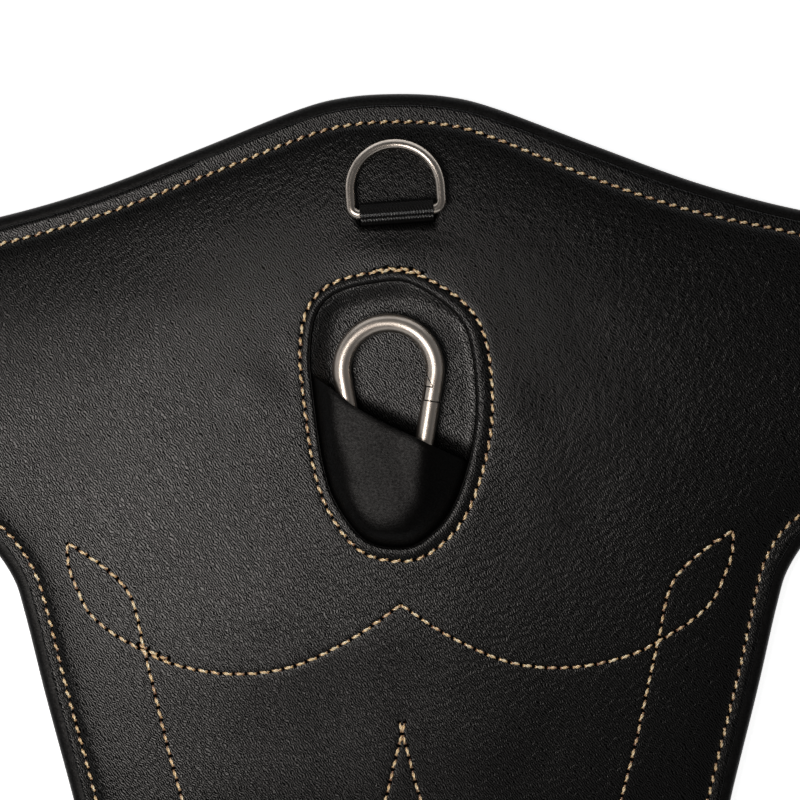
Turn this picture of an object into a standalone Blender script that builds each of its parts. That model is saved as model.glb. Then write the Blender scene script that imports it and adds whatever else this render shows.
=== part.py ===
"""Short belly-guard girth with a stowed snap hook.

The girth lies flat on its lining, outer side up. X runs along the girth from buckle to buckle, +Y points
to the front edge (towards the horse's forelegs) and +Z points out of the grained outer leather. Z = 0 is the
back of the lining, and the origin is below the middle of the whole object. Shapes are written in millimetres
and turned into metres when a mesh is made.
"""

import math

import bmesh
import bpy
from mathutils import Matrix, Vector

MM = 0.001

# ---- planform ----------------------------------------------------------------------------------------
BAND_Y = 74.0  # centre line of the girth band, above the middle of the object
BAND_HALF_WIDTH = 37.0
LINING_END_X = 236.0  # half length of the lining
PANEL_END_X = 206.0  # half length of the padded, grained part
BAND_START_X = 200.0  # where the band's two edges have become parallel
# right half of the edge, (x, y from BAND_Y): the front edge with its breast curve, then the belly flap
FRONT_EDGE = [(0, 83), (16, 82), (31, 78.2), (62.5, 66), (94, 54.2), (125, 45.6), (160, 39.2), (200, 37)]
FLAP_EDGE = [(200, -37), (170, -38.5), (146, -45), (130, -54.5), (121, -66), (117, -78), (111, -103),
             (103, -134), (93.5, -172), (79, -203), (47, -225), (0, -231)]
EDGE_STEP = 9.0  # distance between outline points on a straight stretch

# ---- layers, as heights above the table --------------------------------------------------------------
GAP = 0.3  # air kept between neighbouring pieces
LINING_TOP = 1.5
WEB_BOTTOM, WEB_TOP = 1.8, 3.0
PADDING_BOTTOM = 3.3
CAVITY_BOTTOM = 4.5  # padding left under the window
FLOOR_BOTTOM, FLOOR_TOP = 4.8, 6.0
LEATHER = 2.0  # thickness of the grained outer leather
VALLEY_TOP = 6.3  # top of the leather along the edge seam
CROWN_TOP = 10.0  # top of the leather over the padding
ROLL_TOP = 5.7  # top of the rolled edge
ROLL_WIDTH = 3.7
SEAM_INSET = 8.7  # edge seam, in from the rolled edge
CROWN_INSET = 17.0  # where the padding reaches its full height

# ---- window, pocket and snap hook --------------------------------------------------------------------
# seam round the egg-shaped window, counter-clockwise, (x, y from BAND_Y)
WINDOW_SEAM = [(27.4, 6), (20.4, 18), (4.9, 27.2), (-8, 27.4), (-21.2, 23.8), (-28.4, 16.1), (-30.7, 3.2),
               (-30, -9), (-26.9, -32.7), (-22.1, -47.3), (-12.8, -59.4), (-1, -62.9), (8.7, -60.8),
               (19.4, -50.8), (26.3, -34), (29.3, -15.3)]
RIM_WIDTH = 3.2  # from the seam to the opening's edge
POCKET_MARGIN = 2.4  # pocket leather held under the window's rim
POCKET_THICK = 1.2
POCKET_LIFT = 7.8  # rise of the pocket over the hook
POCKET_LEFT = (-26.0, -5.4)  # ends of the pocket's free edge, (x, y from BAND_Y)
POCKET_RIGHT = (22.6, -32.6)
SNAP_X, SNAP_Y = -3.1, BAND_Y - 44.45  # the bar of the eye, where the strap goes round
SNAP_Z = 9.3
SNAP_WIRE = 2.95
SNAP_HEAD, SNAP_EYE = 14.6, 4.5  # centreline radii of the head and of the eye's two corners
SNAP_EYE_FLAT = 4.0  # half length of the eye's straight bar
SNAP_LENGTH = 37.0  # from the eye's corners to the centre of the head
SNAP_CUT = 0.3  # saw width of the gate's joints
PIN_ALONG = 7.0  # gate pin, up the gate from the eye's tangent point
SHOULDER_ALONG = 28.3  # the gate's shoulder, up the same line
BARB_RISE, BARB_HEIGHT = 4.0, 3.6  # the gate's barb above its shoulder
PIN_RADIUS = 1.0
FORK_RADIUS = 3.0  # rounded foot of the gate
STRAP_WIDTH, STRAP_THICK = 7.6, 1.2
STRAP_TAIL = 58.0  # elastic strap between the layers, behind the eye

# ---- dee ---------------------------------------------------------------------------------------------
DEE_X, DEE_Y, DEE_Z = 0.0, BAND_Y + 46.2, 13.4
DEE_WIRE = 1.45
DEE_HALF = 14.1  # centreline half width
DEE_SIDE = 7.1  # straight side between the bar's corner and the bow
DEE_CORNER = 2.6
DEE_SPIN = math.radians(3.6)  # the ring and its tab sit slightly askew
DEE_DROOP = math.radians(-4)  # the bow rests on the leather
TAB_WIDTH, TAB_THICK = 23.0, 1.4

# ---- straps and buckles ------------------------------------------------------------------------------
STRAP_Y = 19.0  # half the spacing of the two straps at each end
BUCKLE_Z = 4.3
ELASTIC_START_X, ELASTIC_END_X = 209.0, 262.0
ELASTIC_WIDTH, ELASTIC_THICK = 25.0, 2.0
CAP_START_X, CAP_END_X = 204.5, 233.0
CAP_BOTTOM, CAP_THICK = 6.0, 1.6
CHAPE_START_X = 247.0
CHAPE_WIDTH, CHAPE_THICK = 25.0, 1.5
HEEL_X = 272.0
BUCKLE_REACH = 24.0  # heel bar to front bar
FRAME_HALF = 15.8  # centreline half width of the frame
FRAME_CORNER = 3.0
FRAME_WIRE, HEEL_WIRE, FRONT_WIRE = 2.0, 1.8, 1.5
ROLLER_BORE, ROLLER_RADIUS, ROLLER_LENGTH = 1.8, 3.0, 24.8
TONGUE_HALF_WIDTH, CURL_HALF_THICK = 1.9, 0.9


# ---- materials ---------------------------------------------------------------------------------------
def principled(name, colour, roughness, metallic=0.0):
    material = bpy.data.materials.new(name)
    material.use_nodes = True
    shader = material.node_tree.nodes["Principled BSDF"]
    shader.inputs["Base Color"].default_value = (*colour, 1)
    shader.inputs["Roughness"].default_value = roughness
    shader.inputs["Metallic"].default_value = metallic
    return material


def make_materials():
    return {
        "grained_leather": principled("grained_leather", (0.022, 0.020, 0.019), 0.45),
        "smooth_leather": principled("smooth_leather", (0.014, 0.013, 0.013), 0.35),
        "foam": principled("foam", (0.10, 0.10, 0.11), 0.9),
        "webbing": principled("webbing", (0.012, 0.012, 0.012), 0.7),
        "elastic": principled("elastic", (0.016, 0.016, 0.017), 0.8),
        "steel": principled("steel", (0.62, 0.59, 0.56), 0.22, 1.0),
        "spring_steel": principled("spring_steel", (0.45, 0.45, 0.46), 0.3, 1.0),
    }


# ---- mesh helpers, all in millimetres ----------------------------------------------------------------
def finish_object(name, mesh_data, material=None, origin=(0, 0, 0), smooth_below=40):
    """A named object from a bmesh in millimetres, with its origin at that point."""
    bmesh.ops.recalc_face_normals(mesh_data, faces=mesh_data.faces)
    mesh_data.transform(Matrix.Scale(MM, 4) @ Matrix.Translation(-Vector(origin)))
    mesh = bpy.data.meshes.new(name)
    mesh_data.to_mesh(mesh)
    mesh_data.free()
    mesh.shade_smooth()
    mesh.set_sharp_from_angle(angle=math.radians(smooth_below))
    if material:
        mesh.materials.append(material)
    obj = bpy.data.objects.new(name, mesh)
    obj.location = Vector(origin) * MM
    bpy.context.scene.collection.objects.link(obj)
    return obj


def stacked(rings):
    """A closed body from rings with the same number of points, the first and last ones filled."""
    shape = bmesh.new()
    made = [[shape.verts.new(p) for p in ring] for ring in rings]
    count = len(rings[0])
    for low, high in zip(made, made[1:]):
        for i in range(count):
            j = (i + 1) % count
            shape.faces.new((low[i], low[j], high[j], high[i]))
    shape.faces.new(reversed(made[0]))
    shape.faces.new(made[-1])
    return shape


def prism(outline, place, length):
    """An outline of 2-D points pushed along a line: place(u, v, w) gives the point at w = 0 to length."""
    return stacked([[place(u, v, w) for u, v in outline] for w in (0, length)])


def smooth_curve(points, step):
    """A Catmull-Rom curve through the points, with about that much between its own points."""
    ends = [2 * Vector(points[0]) - Vector(points[1]), 2 * Vector(points[-1]) - Vector(points[-2])]
    through = [ends[0], *map(Vector, points), ends[1]]
    line = []
    for a, b, c, d in zip(through, through[1:], through[2:], through[3:]):
        count = max(1, round((c - b).length / step))
        for k in range(count):
            t = k / count
            line.append(0.5 * (2 * b + (c - a) * t + (2 * a - 5 * b + 4 * c - d) * t**2
                               + (3 * b - a - 3 * c + d) * t**3))
    return [*line, Vector(points[-1])]


def arc(centre, radius, start, end, count):
    """Points on a 2-D arc, angles in degrees, both ends included."""
    angles = [math.radians(start + (end - start) * k / count) for k in range(count + 1)]
    return [Vector((centre[0] + radius * math.cos(a), centre[1] + radius * math.sin(a))) for a in angles]


def rounded_loop(low, high, radii, steps):
    """A rectangle with rounded corners, clockwise from the low x, high y corner."""
    corners = [(low[0], high[1], 180, 1, -1), (high[0], high[1], 90, -1, -1), (high[0], low[1], 0, -1, 1),
               (low[0], low[1], -90, 1, 1)]
    loop = []
    for (x, y, start, right, up), radius in zip(corners, radii):
        loop += arc((x + right * radius, y + up * radius), radius, start, start - 90, steps)
    return loop


def inset(loop, distance):
    """A counter-clockwise closed loop moved inwards."""
    moved = []
    for i, point in enumerate(loop):
        along = (loop[(i + 1) % len(loop)] - loop[i - 1]).normalized()
        moved.append(point + distance * Vector((-along.y, along.x)))
    return moved


def at_height(loop, z):
    return [(p.x, p.y, z) for p in loop]


def ribbon(path, thickness):
    """The outline of a strip of that thickness that follows a 2-D path."""
    sides = ([], [])
    for i, point in enumerate(path):
        along = (path[min(i + 1, len(path) - 1)] - path[max(i - 1, 0)]).normalized()
        across = Vector((-along.y, along.x)) * thickness / 2
        sides[0].append(point + across)
        sides[1].append(point - across)
    return [*sides[0], *reversed(sides[1])]


def swept(path, radii, sides, closed=False, up=Vector((0, 0, 1)), turn=0.0):
    """A tube along a path of 3-D points. radii holds (half width, half thickness) for each point."""
    rings = []
    count = len(path)
    for i, point in enumerate(path):
        after = path[(i + 1) % count] if closed else path[min(i + 1, count - 1)]
        before = path[i - 1] if closed else path[max(i - 1, 0)]
        along = (after - before).normalized()
        side = along.cross(up).normalized()
        top = side.cross(along)
        wide, thick = radii[i]
        angles = [2 * math.pi * (k + turn) / sides for k in range(sides)]
        rings.append([point + side * wide * math.cos(a) + top * thick * math.sin(a) for a in angles])
    if not closed:
        return stacked(rings)
    shape = bmesh.new()
    made = [[shape.verts.new(p) for p in ring] for ring in rings]
    for i in range(count):
        near, far = made[i], made[(i + 1) % count]
        for k in range(sides):
            m = (k + 1) % sides
            shape.faces.new((near[k], near[m], far[m], far[k]))
    return shape


def cut_with(obj, cutter, operation="DIFFERENCE"):
    """Cuts, joins or keeps what is common, and applies it."""
    cutter.hide_render = True
    cutter.display_type = "WIRE"
    modifier = obj.modifiers.new(operation.lower(), "BOOLEAN")
    modifier.operation = operation
    modifier.object = cutter
    bpy.context.view_layer.update()
    graph = bpy.context.evaluated_depsgraph_get()
    mesh = bpy.data.meshes.new_from_object(obj.evaluated_get(graph))
    obj.modifiers.remove(modifier)
    obj.data = mesh
    bpy.data.objects.remove(cutter)


def box(name, low, high, material=None):
    """A rectangular block."""
    corners = [(low[0], low[1]), (high[0], low[1]), (high[0], high[1]), (low[0], high[1])]
    shape = prism(corners, lambda u, v, w: (u, v, low[2] + w), high[2] - low[2])
    return finish_object(name, shape, material)


def cutter(shape):
    return finish_object("cutter", shape)


# ---- outlines ----------------------------------------------------------------------------------------
def edge_outline(end_x, corner):
    """The girth's outline, counter-clockwise, with its band cut off at end_x."""
    front = [Vector(p) for p in FRONT_EDGE]
    flap = [Vector(p) for p in FLAP_EDGE]
    straight = Vector((end_x - corner, BAND_HALF_WIDTH))
    low_straight = Vector((end_x - corner, -BAND_HALF_WIDTH))
    down_right = [
        *smooth_curve([p for p in front if p.x < straight.x - 1] + [straight], EDGE_STEP)[:-1],
        *arc((end_x - corner, BAND_HALF_WIDTH - corner), corner, 90, 0, 5),
        *arc((end_x - corner, corner - BAND_HALF_WIDTH), corner, 0, -90, 5),
        *smooth_curve([low_straight] + [p for p in flap if p.x < low_straight.x - 1], EDGE_STEP)[1:],
    ]
    left = [Vector((-p.x, p.y)) for p in reversed(down_right[1:-1])]
    loop = [*down_right, *left]
    loop.reverse()
    return [Vector((p.x, p.y + BAND_Y)) for p in loop]


def window_loop(inwards):
    """The window's outline, moved in from its seam."""
    seam = WINDOW_SEAM
    around = smooth_curve([seam[-1], *seam, seam[0], seam[1]], 5.5)
    first, last = around.index(Vector(seam[0])), len(around) - 1 - around[::-1].index(Vector(seam[0]))
    return inset([Vector((p.x, p.y + BAND_Y)) for p in around[first:last]], inwards)


def depth_inside(point, loop):
    """Distance from a point to a closed loop, negative outside it."""
    nearest, inside = 1e9, False
    for a, b in zip(loop, loop[1:] + loop[:1]):
        along = b - a
        share = min(1.0, max(0.0, (point - a).dot(along) / along.length_squared))
        nearest = min(nearest, (point - a - along * share).length)
        if (a.y > point.y) != (b.y > point.y) and point.x < a.x + along.x * (point.y - a.y) / along.y:
            inside = not inside
    return nearest if inside else -nearest


# ---- the padded panel --------------------------------------------------------------------------------
def make_lining(materials):
    """Smooth leather tray: a flat back whose edge is rolled up round the padding."""
    edge = edge_outline(LINING_END_X, 12)
    section = [(1.0, 0), (0.1, 1.4), (0, 3.4), (0.9, 5.0), (2.2, ROLL_TOP), (3.2, 5.2),
               (ROLL_WIDTH, LINING_TOP)]
    rings = [at_height(inset(edge, depth), z) for depth, z in section]
    lining = finish_object("lining_shell", stacked(rings), materials["smooth_leather"])
    half = BAND_HALF_WIDTH - ROLL_WIDTH - 0.4
    for low, high in ((-250, -CAP_START_X), (CAP_START_X, 250)):
        cut_with(lining, box("cutter", (low, BAND_Y - half, LINING_TOP), (high, BAND_Y + half, 20)))


def make_load_web(materials):
    """Webbing that carries the pull from one pair of buckles to the other."""
    half_length, half_width = LINING_END_X - 8, 29.0
    low = (-half_length, BAND_Y - half_width, WEB_BOTTOM)
    box("load_web", low, (half_length, BAND_Y + half_width, WEB_TOP), materials["webbing"])


def make_padding(materials):
    """Foam core, with the window's cavity and room for the strap and for the dee's tab."""
    edge = edge_outline(PANEL_END_X, 18)
    under_valley = VALLEY_TOP - LEATHER - GAP
    under_crown = CROWN_TOP - LEATHER - GAP
    section = [(ROLL_WIDTH + GAP, PADDING_BOTTOM), (ROLL_WIDTH + GAP, under_valley),
               (SEAM_INSET, under_valley), (CROWN_INSET, under_crown)]
    core = finish_object("padding_core", stacked([at_height(inset(edge, d), z) for d, z in section]),
                         materials["foam"])
    cavity = stacked([at_height(window_loop(-1.5), z) for z in (CAVITY_BOTTOM, 20)])
    cut_with(core, cutter(cavity))
    channel = STRAP_WIDTH / 2 + 1.5
    low = (SNAP_X - channel, SNAP_Y - STRAP_TAIL - 2, PADDING_BOTTOM - 1)
    cut_with(core, box("cutter", low, (SNAP_X + channel, SNAP_Y - 2, 20)))
    half_tab = TAB_WIDTH / 2 + 2.5
    cut_with(core, box("cutter", (DEE_X - half_tab, DEE_Y - 18, 4.2), (DEE_X + half_tab, DEE_Y + 2, 20)))


def make_outer_panel(materials):
    """Grained leather shell over the padding, with the window and the slit for the dee's tab."""
    edge = edge_outline(PANEL_END_X, 18)
    insets = [ROLL_WIDTH + 0.2, SEAM_INSET, CROWN_INSET]
    tops = [VALLEY_TOP, VALLEY_TOP, CROWN_TOP]
    section = [*((d, z - LEATHER) for d, z in reversed(list(zip(insets, tops)))), *zip(insets, tops)]
    panel = finish_object("outer_panel", stacked([at_height(inset(edge, d), z) for d, z in section]),
                          materials["grained_leather"])
    hole = stacked([at_height(window_loop(RIM_WIDTH), z) for z in (1, 20)])
    cut_with(panel, cutter(hole))
    slit = box("cutter", (-TAB_WIDTH / 2 - 0.8, -5.2, -8), (TAB_WIDTH / 2 + 0.8, 0.4, 4))
    slit.matrix_world = dee_frame()
    cut_with(panel, slit)


def make_window_floor(materials):
    """Grained leather seen through the window. It stops short of the hook's strap."""
    layers = [at_height(window_loop(0.5), z) for z in (FLOOR_BOTTOM, FLOOR_TOP)]
    floor = finish_object("window_floor", stacked(layers), materials["grained_leather"])
    cut_with(floor, box("cutter", (-60, -200, 0), (60, SNAP_Y + 6, 20)))


def pocket_height(depth):
    """Underside of the pocket leather: low where it is sewn in, high over the hook."""
    rise = min(1.0, max(0.0, (depth - 1.2) / 5.6))
    return FLOOR_TOP + GAP + POCKET_LIFT * (3 * rise**2 - 2 * rise**3)


def make_pocket(materials):
    """Smooth leather pocket over the lower half of the window, open along its slanting upper edge."""
    opening, margin = window_loop(RIM_WIDTH), window_loop(RIM_WIDTH - POCKET_MARGIN)
    start = Vector(POCKET_LEFT) + Vector((0, BAND_Y))
    end = Vector(POCKET_RIGHT) + Vector((0, BAND_Y))
    slope = (end - start).normalized()
    down = Vector((slope.y, -slope.x))
    middle = (start + end) / 2
    rows, columns = 10, 16
    deepest = 0.0
    while depth_inside(middle + down * (deepest + 1), margin) > 0.6:
        deepest += 1
    grid = []
    for r in range(rows + 1):
        base = middle + down * deepest * r / rows
        reach = []
        for direction in (-slope, slope):
            far = 0.0
            while depth_inside(base + direction * (far + 0.25), margin) > 0:
                far += 0.25
            reach.append(far)
        ends = base - slope * reach[0], base + slope * reach[1]
        grid.append([ends[0].lerp(ends[1], c / columns) for c in range(columns + 1)])
    shape = bmesh.new()
    layers = [[[shape.verts.new((p.x, p.y, pocket_height(depth_inside(p, opening)) + lift)) for p in row]
               for row in grid] for lift in (0, POCKET_THICK)]
    under, over = layers
    for r in range(rows):
        for c in range(columns):
            shape.faces.new((under[r][c], under[r + 1][c], under[r + 1][c + 1], under[r][c + 1]))
            shape.faces.new((over[r][c], over[r][c + 1], over[r + 1][c + 1], over[r + 1][c]))
    rim = [(0, c) for c in range(columns)] + [(r, columns) for r in range(rows)]
    rim += [(rows, c) for c in range(columns, 0, -1)] + [(r, 0) for r in range(rows, 0, -1)]
    for (r, c), (s, d) in zip(rim, rim[1:] + rim[:1]):
        shape.faces.new((under[r][c], under[s][d], over[s][d], over[r][c]))
    finish_object("hook_pocket", shape, materials["smooth_leather"])


# ---- snap hook, in its own frame: the eye's bar is at the origin, +Y points to the head --------------
SNAP_TAPER = (math.asin((SNAP_HEAD - SNAP_EYE) / math.hypot(SNAP_EYE_FLAT, SNAP_LENGTH))
              - math.atan2(SNAP_EYE_FLAT, SNAP_LENGTH))
SNAP_ORIGIN = Vector((SNAP_X, SNAP_Y, SNAP_Z))
GATE_FOOT = Vector((SNAP_EYE_FLAT + SNAP_EYE * math.cos(SNAP_TAPER), SNAP_EYE * (1 - math.sin(SNAP_TAPER))))
GATE_LINE = Vector((math.sin(SNAP_TAPER), math.cos(SNAP_TAPER)))
GATE_ACROSS = Vector((GATE_LINE.y, -GATE_LINE.x))  # points out of the hook


def gate_point(along, across=0.0):
    """A point given up the gate's line and out of the hook."""
    return GATE_FOOT + GATE_LINE * along + GATE_ACROSS * across


def snap_plate(outline, half_thick):
    """A plate through the hook: outline holds (along, across) points on the gate's line."""
    flat = [gate_point(*p) for p in outline]
    plate = prism(flat, lambda u, v, w: (u, v, w - half_thick), 2 * half_thick)
    return cutter(plate)


def gate_rod(start, end, radius, sides):
    """A round piece on the gate's line."""
    path = [Vector((*gate_point(along), 0)) for along in (start, end)]
    return swept(path, [(radius, radius)] * 2, sides, turn=0.5)


def barb_outline(grow):
    """The gate's barb, which hooks over the nose from inside."""
    low = SHOULDER_ALONG + BARB_RISE - grow
    inside = -SNAP_WIRE - 0.5
    return [(low, inside), (low, grow - 0.4), (low + 0.5 + grow, grow - 0.4),
            (low + BARB_HEIGHT + grow, grow - 2.4), (low + BARB_HEIGHT + grow, inside)]


def pin_bore():
    bore = prism(arc(gate_point(PIN_ALONG), PIN_RADIUS + 0.15, 0, 330, 11), lambda u, v, w: (u, v, w - 4), 8)
    return cutter(bore)


def hook_wire_path():
    """Centreline of the whole hook, from the gate's foot down round the eye and over the head."""
    taper = math.degrees(SNAP_TAPER)
    line = [*arc((SNAP_EYE_FLAT, SNAP_EYE), SNAP_EYE, -taper, -90, 4),
            *arc((-SNAP_EYE_FLAT, SNAP_EYE), SNAP_EYE, -90, -180 + taper, 4),
            *arc((0, SNAP_EYE + SNAP_LENGTH), SNAP_HEAD, 180 + taper, -taper, 18)]
    return [Vector((p.x, p.y, 0)) for p in line]


def make_snap_hook(materials):
    """Sprung snap hook: bent wire body, hinged gate, pin, spring and plunger."""
    steel = materials["steel"]
    sides = 14
    shoulder, notch = SHOULDER_ALONG, SHOULDER_ALONG + BARB_RISE
    far = SNAP_WIRE + 2
    path = hook_wire_path()
    ring = swept(path, [(SNAP_WIRE, SNAP_WIRE)] * len(path), sides, closed=True, turn=0.5)
    body = finish_object("snap_body", ring, steel)
    foot = PIN_ALONG - FORK_RADIUS - 0.5
    cut_with(body, snap_plate([(foot, -far), (foot, far), (shoulder, far), (shoulder, -far)], 6))
    slot = [(shoulder - 1, -far), (shoulder - 1, 1.0), (notch + 0.5, 1.0), (notch + 0.5, -far)]
    cut_with(body, snap_plate(slot, 1.2))
    cut_with(body, snap_plate(barb_outline(0.0), 6))
    # a flat tongue for the gate's fork to close round
    half_turn = [math.radians(a) for a in range(0, 181, 30)]
    eyelet = [(PIN_ALONG + 2.1 * math.sin(a), 2.1 * math.cos(a)) for a in half_turn]
    cut_with(body, snap_plate([(foot - 1.5, -2.1), (foot - 1.5, 2.1), *eyelet], 1.0), "UNION")
    cut_with(body, pin_bore())

    gate = finish_object("snap_gate", gate_rod(PIN_ALONG - 4, shoulder - SNAP_CUT, SNAP_WIRE, sides), steel)
    rounded = [(PIN_ALONG - FORK_RADIUS * math.sin(a), FORK_RADIUS * math.cos(a)) for a in half_turn]
    bullet = [(shoulder + 1, -FORK_RADIUS), (shoulder + 1, FORK_RADIUS), *rounded]
    cut_with(gate, snap_plate(bullet, 6), "INTERSECT")
    cut_with(gate, snap_plate([(0, -5), (0, 5), (PIN_ALONG + 3.4, 5), (PIN_ALONG + 3.4, -5)], 1.3))
    web = [(shoulder - 2, -2.5), (shoulder - 2, 0.6), (notch + 0.6, 0.6 - 1.2), (notch + 0.6, -2.5)]
    cut_with(gate, snap_plate(web, 0.9), "UNION")
    barb = cutter(gate_rod(shoulder, notch + 9, SNAP_WIRE, sides))
    cut_with(barb, snap_plate(barb_outline(-SNAP_CUT), 6), "INTERSECT")
    cut_with(gate, barb, "UNION")
    cut_with(gate, pin_bore())
    cut_with(gate, cutter(gate_rod(PIN_ALONG + 1, PIN_ALONG + 13, 1.3, 10)))

    pin = gate_point(PIN_ALONG)
    pin_rings = [(0.7, -2.9), (PIN_RADIUS, -2.7), (PIN_RADIUS, 2.7), (0.7, 2.9)]
    rings = [[(p.x, p.y, z) for p in arc(pin, r, 0, 330, 11)] for r, z in pin_rings]
    gate_pin = finish_object("gate_pin", stacked(rings), steel)
    plunger_path = [Vector((*gate_point(PIN_ALONG + a), 0)) for a in (2.4, 2.8, 5)]
    plunger_shape = swept(plunger_path, [(0.6, 0.6), (0.95, 0.95), (0.95, 0.95)], 10)
    plunger = finish_object("gate_plunger", plunger_shape, steel)
    turns, wire_radius, coil = 6, 0.17, 0.85
    first, last = PIN_ALONG + 5.6, PIN_ALONG + 12.4
    helix = []
    for k in range(turns * 8 + 1):
        angle = 2 * math.pi * k / 8
        centre = gate_point(first + (last - first) * k / (turns * 8), coil * math.cos(angle))
        helix.append(Vector((centre.x, centre.y, coil * math.sin(angle))))
    up = Vector((GATE_LINE.x, GATE_LINE.y, 0))
    spring = finish_object("gate_spring", swept(helix, [(wire_radius, wire_radius)] * len(helix), 4, up=up),
                           materials["spring_steel"])
    pivot = Vector((pin.x, pin.y, 0))
    for piece in (body, gate, gate_pin, plunger, spring):
        origin = Vector() if piece is body else pivot
        piece.data.transform(Matrix.Translation(-origin * MM))
        piece.location = (SNAP_ORIGIN + origin) * MM


def make_hook_strap(materials):
    """Narrow elastic strap folded round the hook's eye, anchored far back between the layers."""
    loop = SNAP_WIRE + GAP + STRAP_THICK / 2
    low_z = PADDING_BOTTOM + 0.1 + STRAP_THICK / 2
    high_z = low_z + STRAP_THICK + GAP
    upper = [(-STRAP_TAIL, high_z), (-9.6, high_z), (-7.2, high_z + 0.8), (-5.2, SNAP_Z - 1.2)]
    lower = [(-4.4, low_z + 0.5), (-7.0, low_z), (-STRAP_TAIL, low_z)]
    round_eye = arc((0, SNAP_Z), loop, 172, -112, 14)
    path = [upper[0], *smooth_curve(upper[1:], 2), *round_eye, *smooth_curve(lower[:-1], 2), lower[-1]]
    outline = ribbon([Vector(p) for p in path], STRAP_THICK)
    place = lambda u, v, w: (SNAP_X + w - STRAP_WIDTH / 2, SNAP_Y + u, v)
    strap = prism(outline, place, STRAP_WIDTH)
    finish_object("hook_strap", strap, materials["webbing"], origin=(SNAP_X, SNAP_Y, SNAP_Z))


# ---- dee ---------------------------------------------------------------------------------------------
def dee_frame():
    """The bar's own frame: its X runs along the bar."""
    place = Matrix.Translation(Vector((DEE_X, DEE_Y, DEE_Z)) * MM)
    return place @ Matrix.Rotation(DEE_SPIN, 4, "Z")


def make_dee(materials):
    """Welded dee on a folded webbing tab that goes down through the slit."""
    corner, half = DEE_CORNER, DEE_HALF
    line = [*arc((corner - half, corner), corner, -90, -180, 4), *arc((0, DEE_SIDE), half, 180, 0, 16),
            *arc((half - corner, corner), corner, 0, -90, 4)]
    path = [Vector((p.x, p.y, 0)) for p in line]
    ring = finish_object("dee_ring", swept(path, [(DEE_WIRE, DEE_WIRE)] * len(path), 10, closed=True),
                         materials["steel"])
    ring.matrix_world = dee_frame() @ Matrix.Rotation(DEE_DROOP, 4, "X")

    loop = DEE_WIRE + GAP + TAB_THICK / 2
    outer = [(-16.5, -6.5), (-8, -6.5), (-5.2, -6.3), (-3.4, -4.9), (-2.7, -2.4)]
    inner = [(-0.85, -4.0), (-1.5, -6.2), (-3.8, -7.8), (-7.2, -8.1), (-16.5, -8.1)]
    path = [*smooth_curve(outer, 3), *arc((0, 0), loop, 180, -106, 14), *smooth_curve(inner, 3)]
    outline = ribbon(path, TAB_THICK)
    place = lambda u, v, w: (w - TAB_WIDTH / 2, u, v)
    tab = finish_object("dee_tab", prism(outline, place, TAB_WIDTH), materials["webbing"])
    tab.matrix_world = dee_frame()


# ---- straps and buckles ------------------------------------------------------------------------------
def make_cap(name, side, materials):
    """Leather cap sewn over the strap ends."""
    half = BAND_HALF_WIDTH - ROLL_WIDTH - 0.4
    corner = 9.0
    loop = rounded_loop((CAP_START_X, BAND_Y - half), (CAP_END_X, BAND_Y + half), (2, corner, corner, 2), 4)
    heights = [(0, CAP_BOTTOM), (0, CAP_BOTTOM + CAP_THICK - 0.4), (-0.5, CAP_BOTTOM + CAP_THICK)]
    rings = [[(side * p.x, p.y, z) for p in inset(loop, d)] for d, z in heights]
    finish_object(name, stacked(rings), materials["smooth_leather"])


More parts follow.
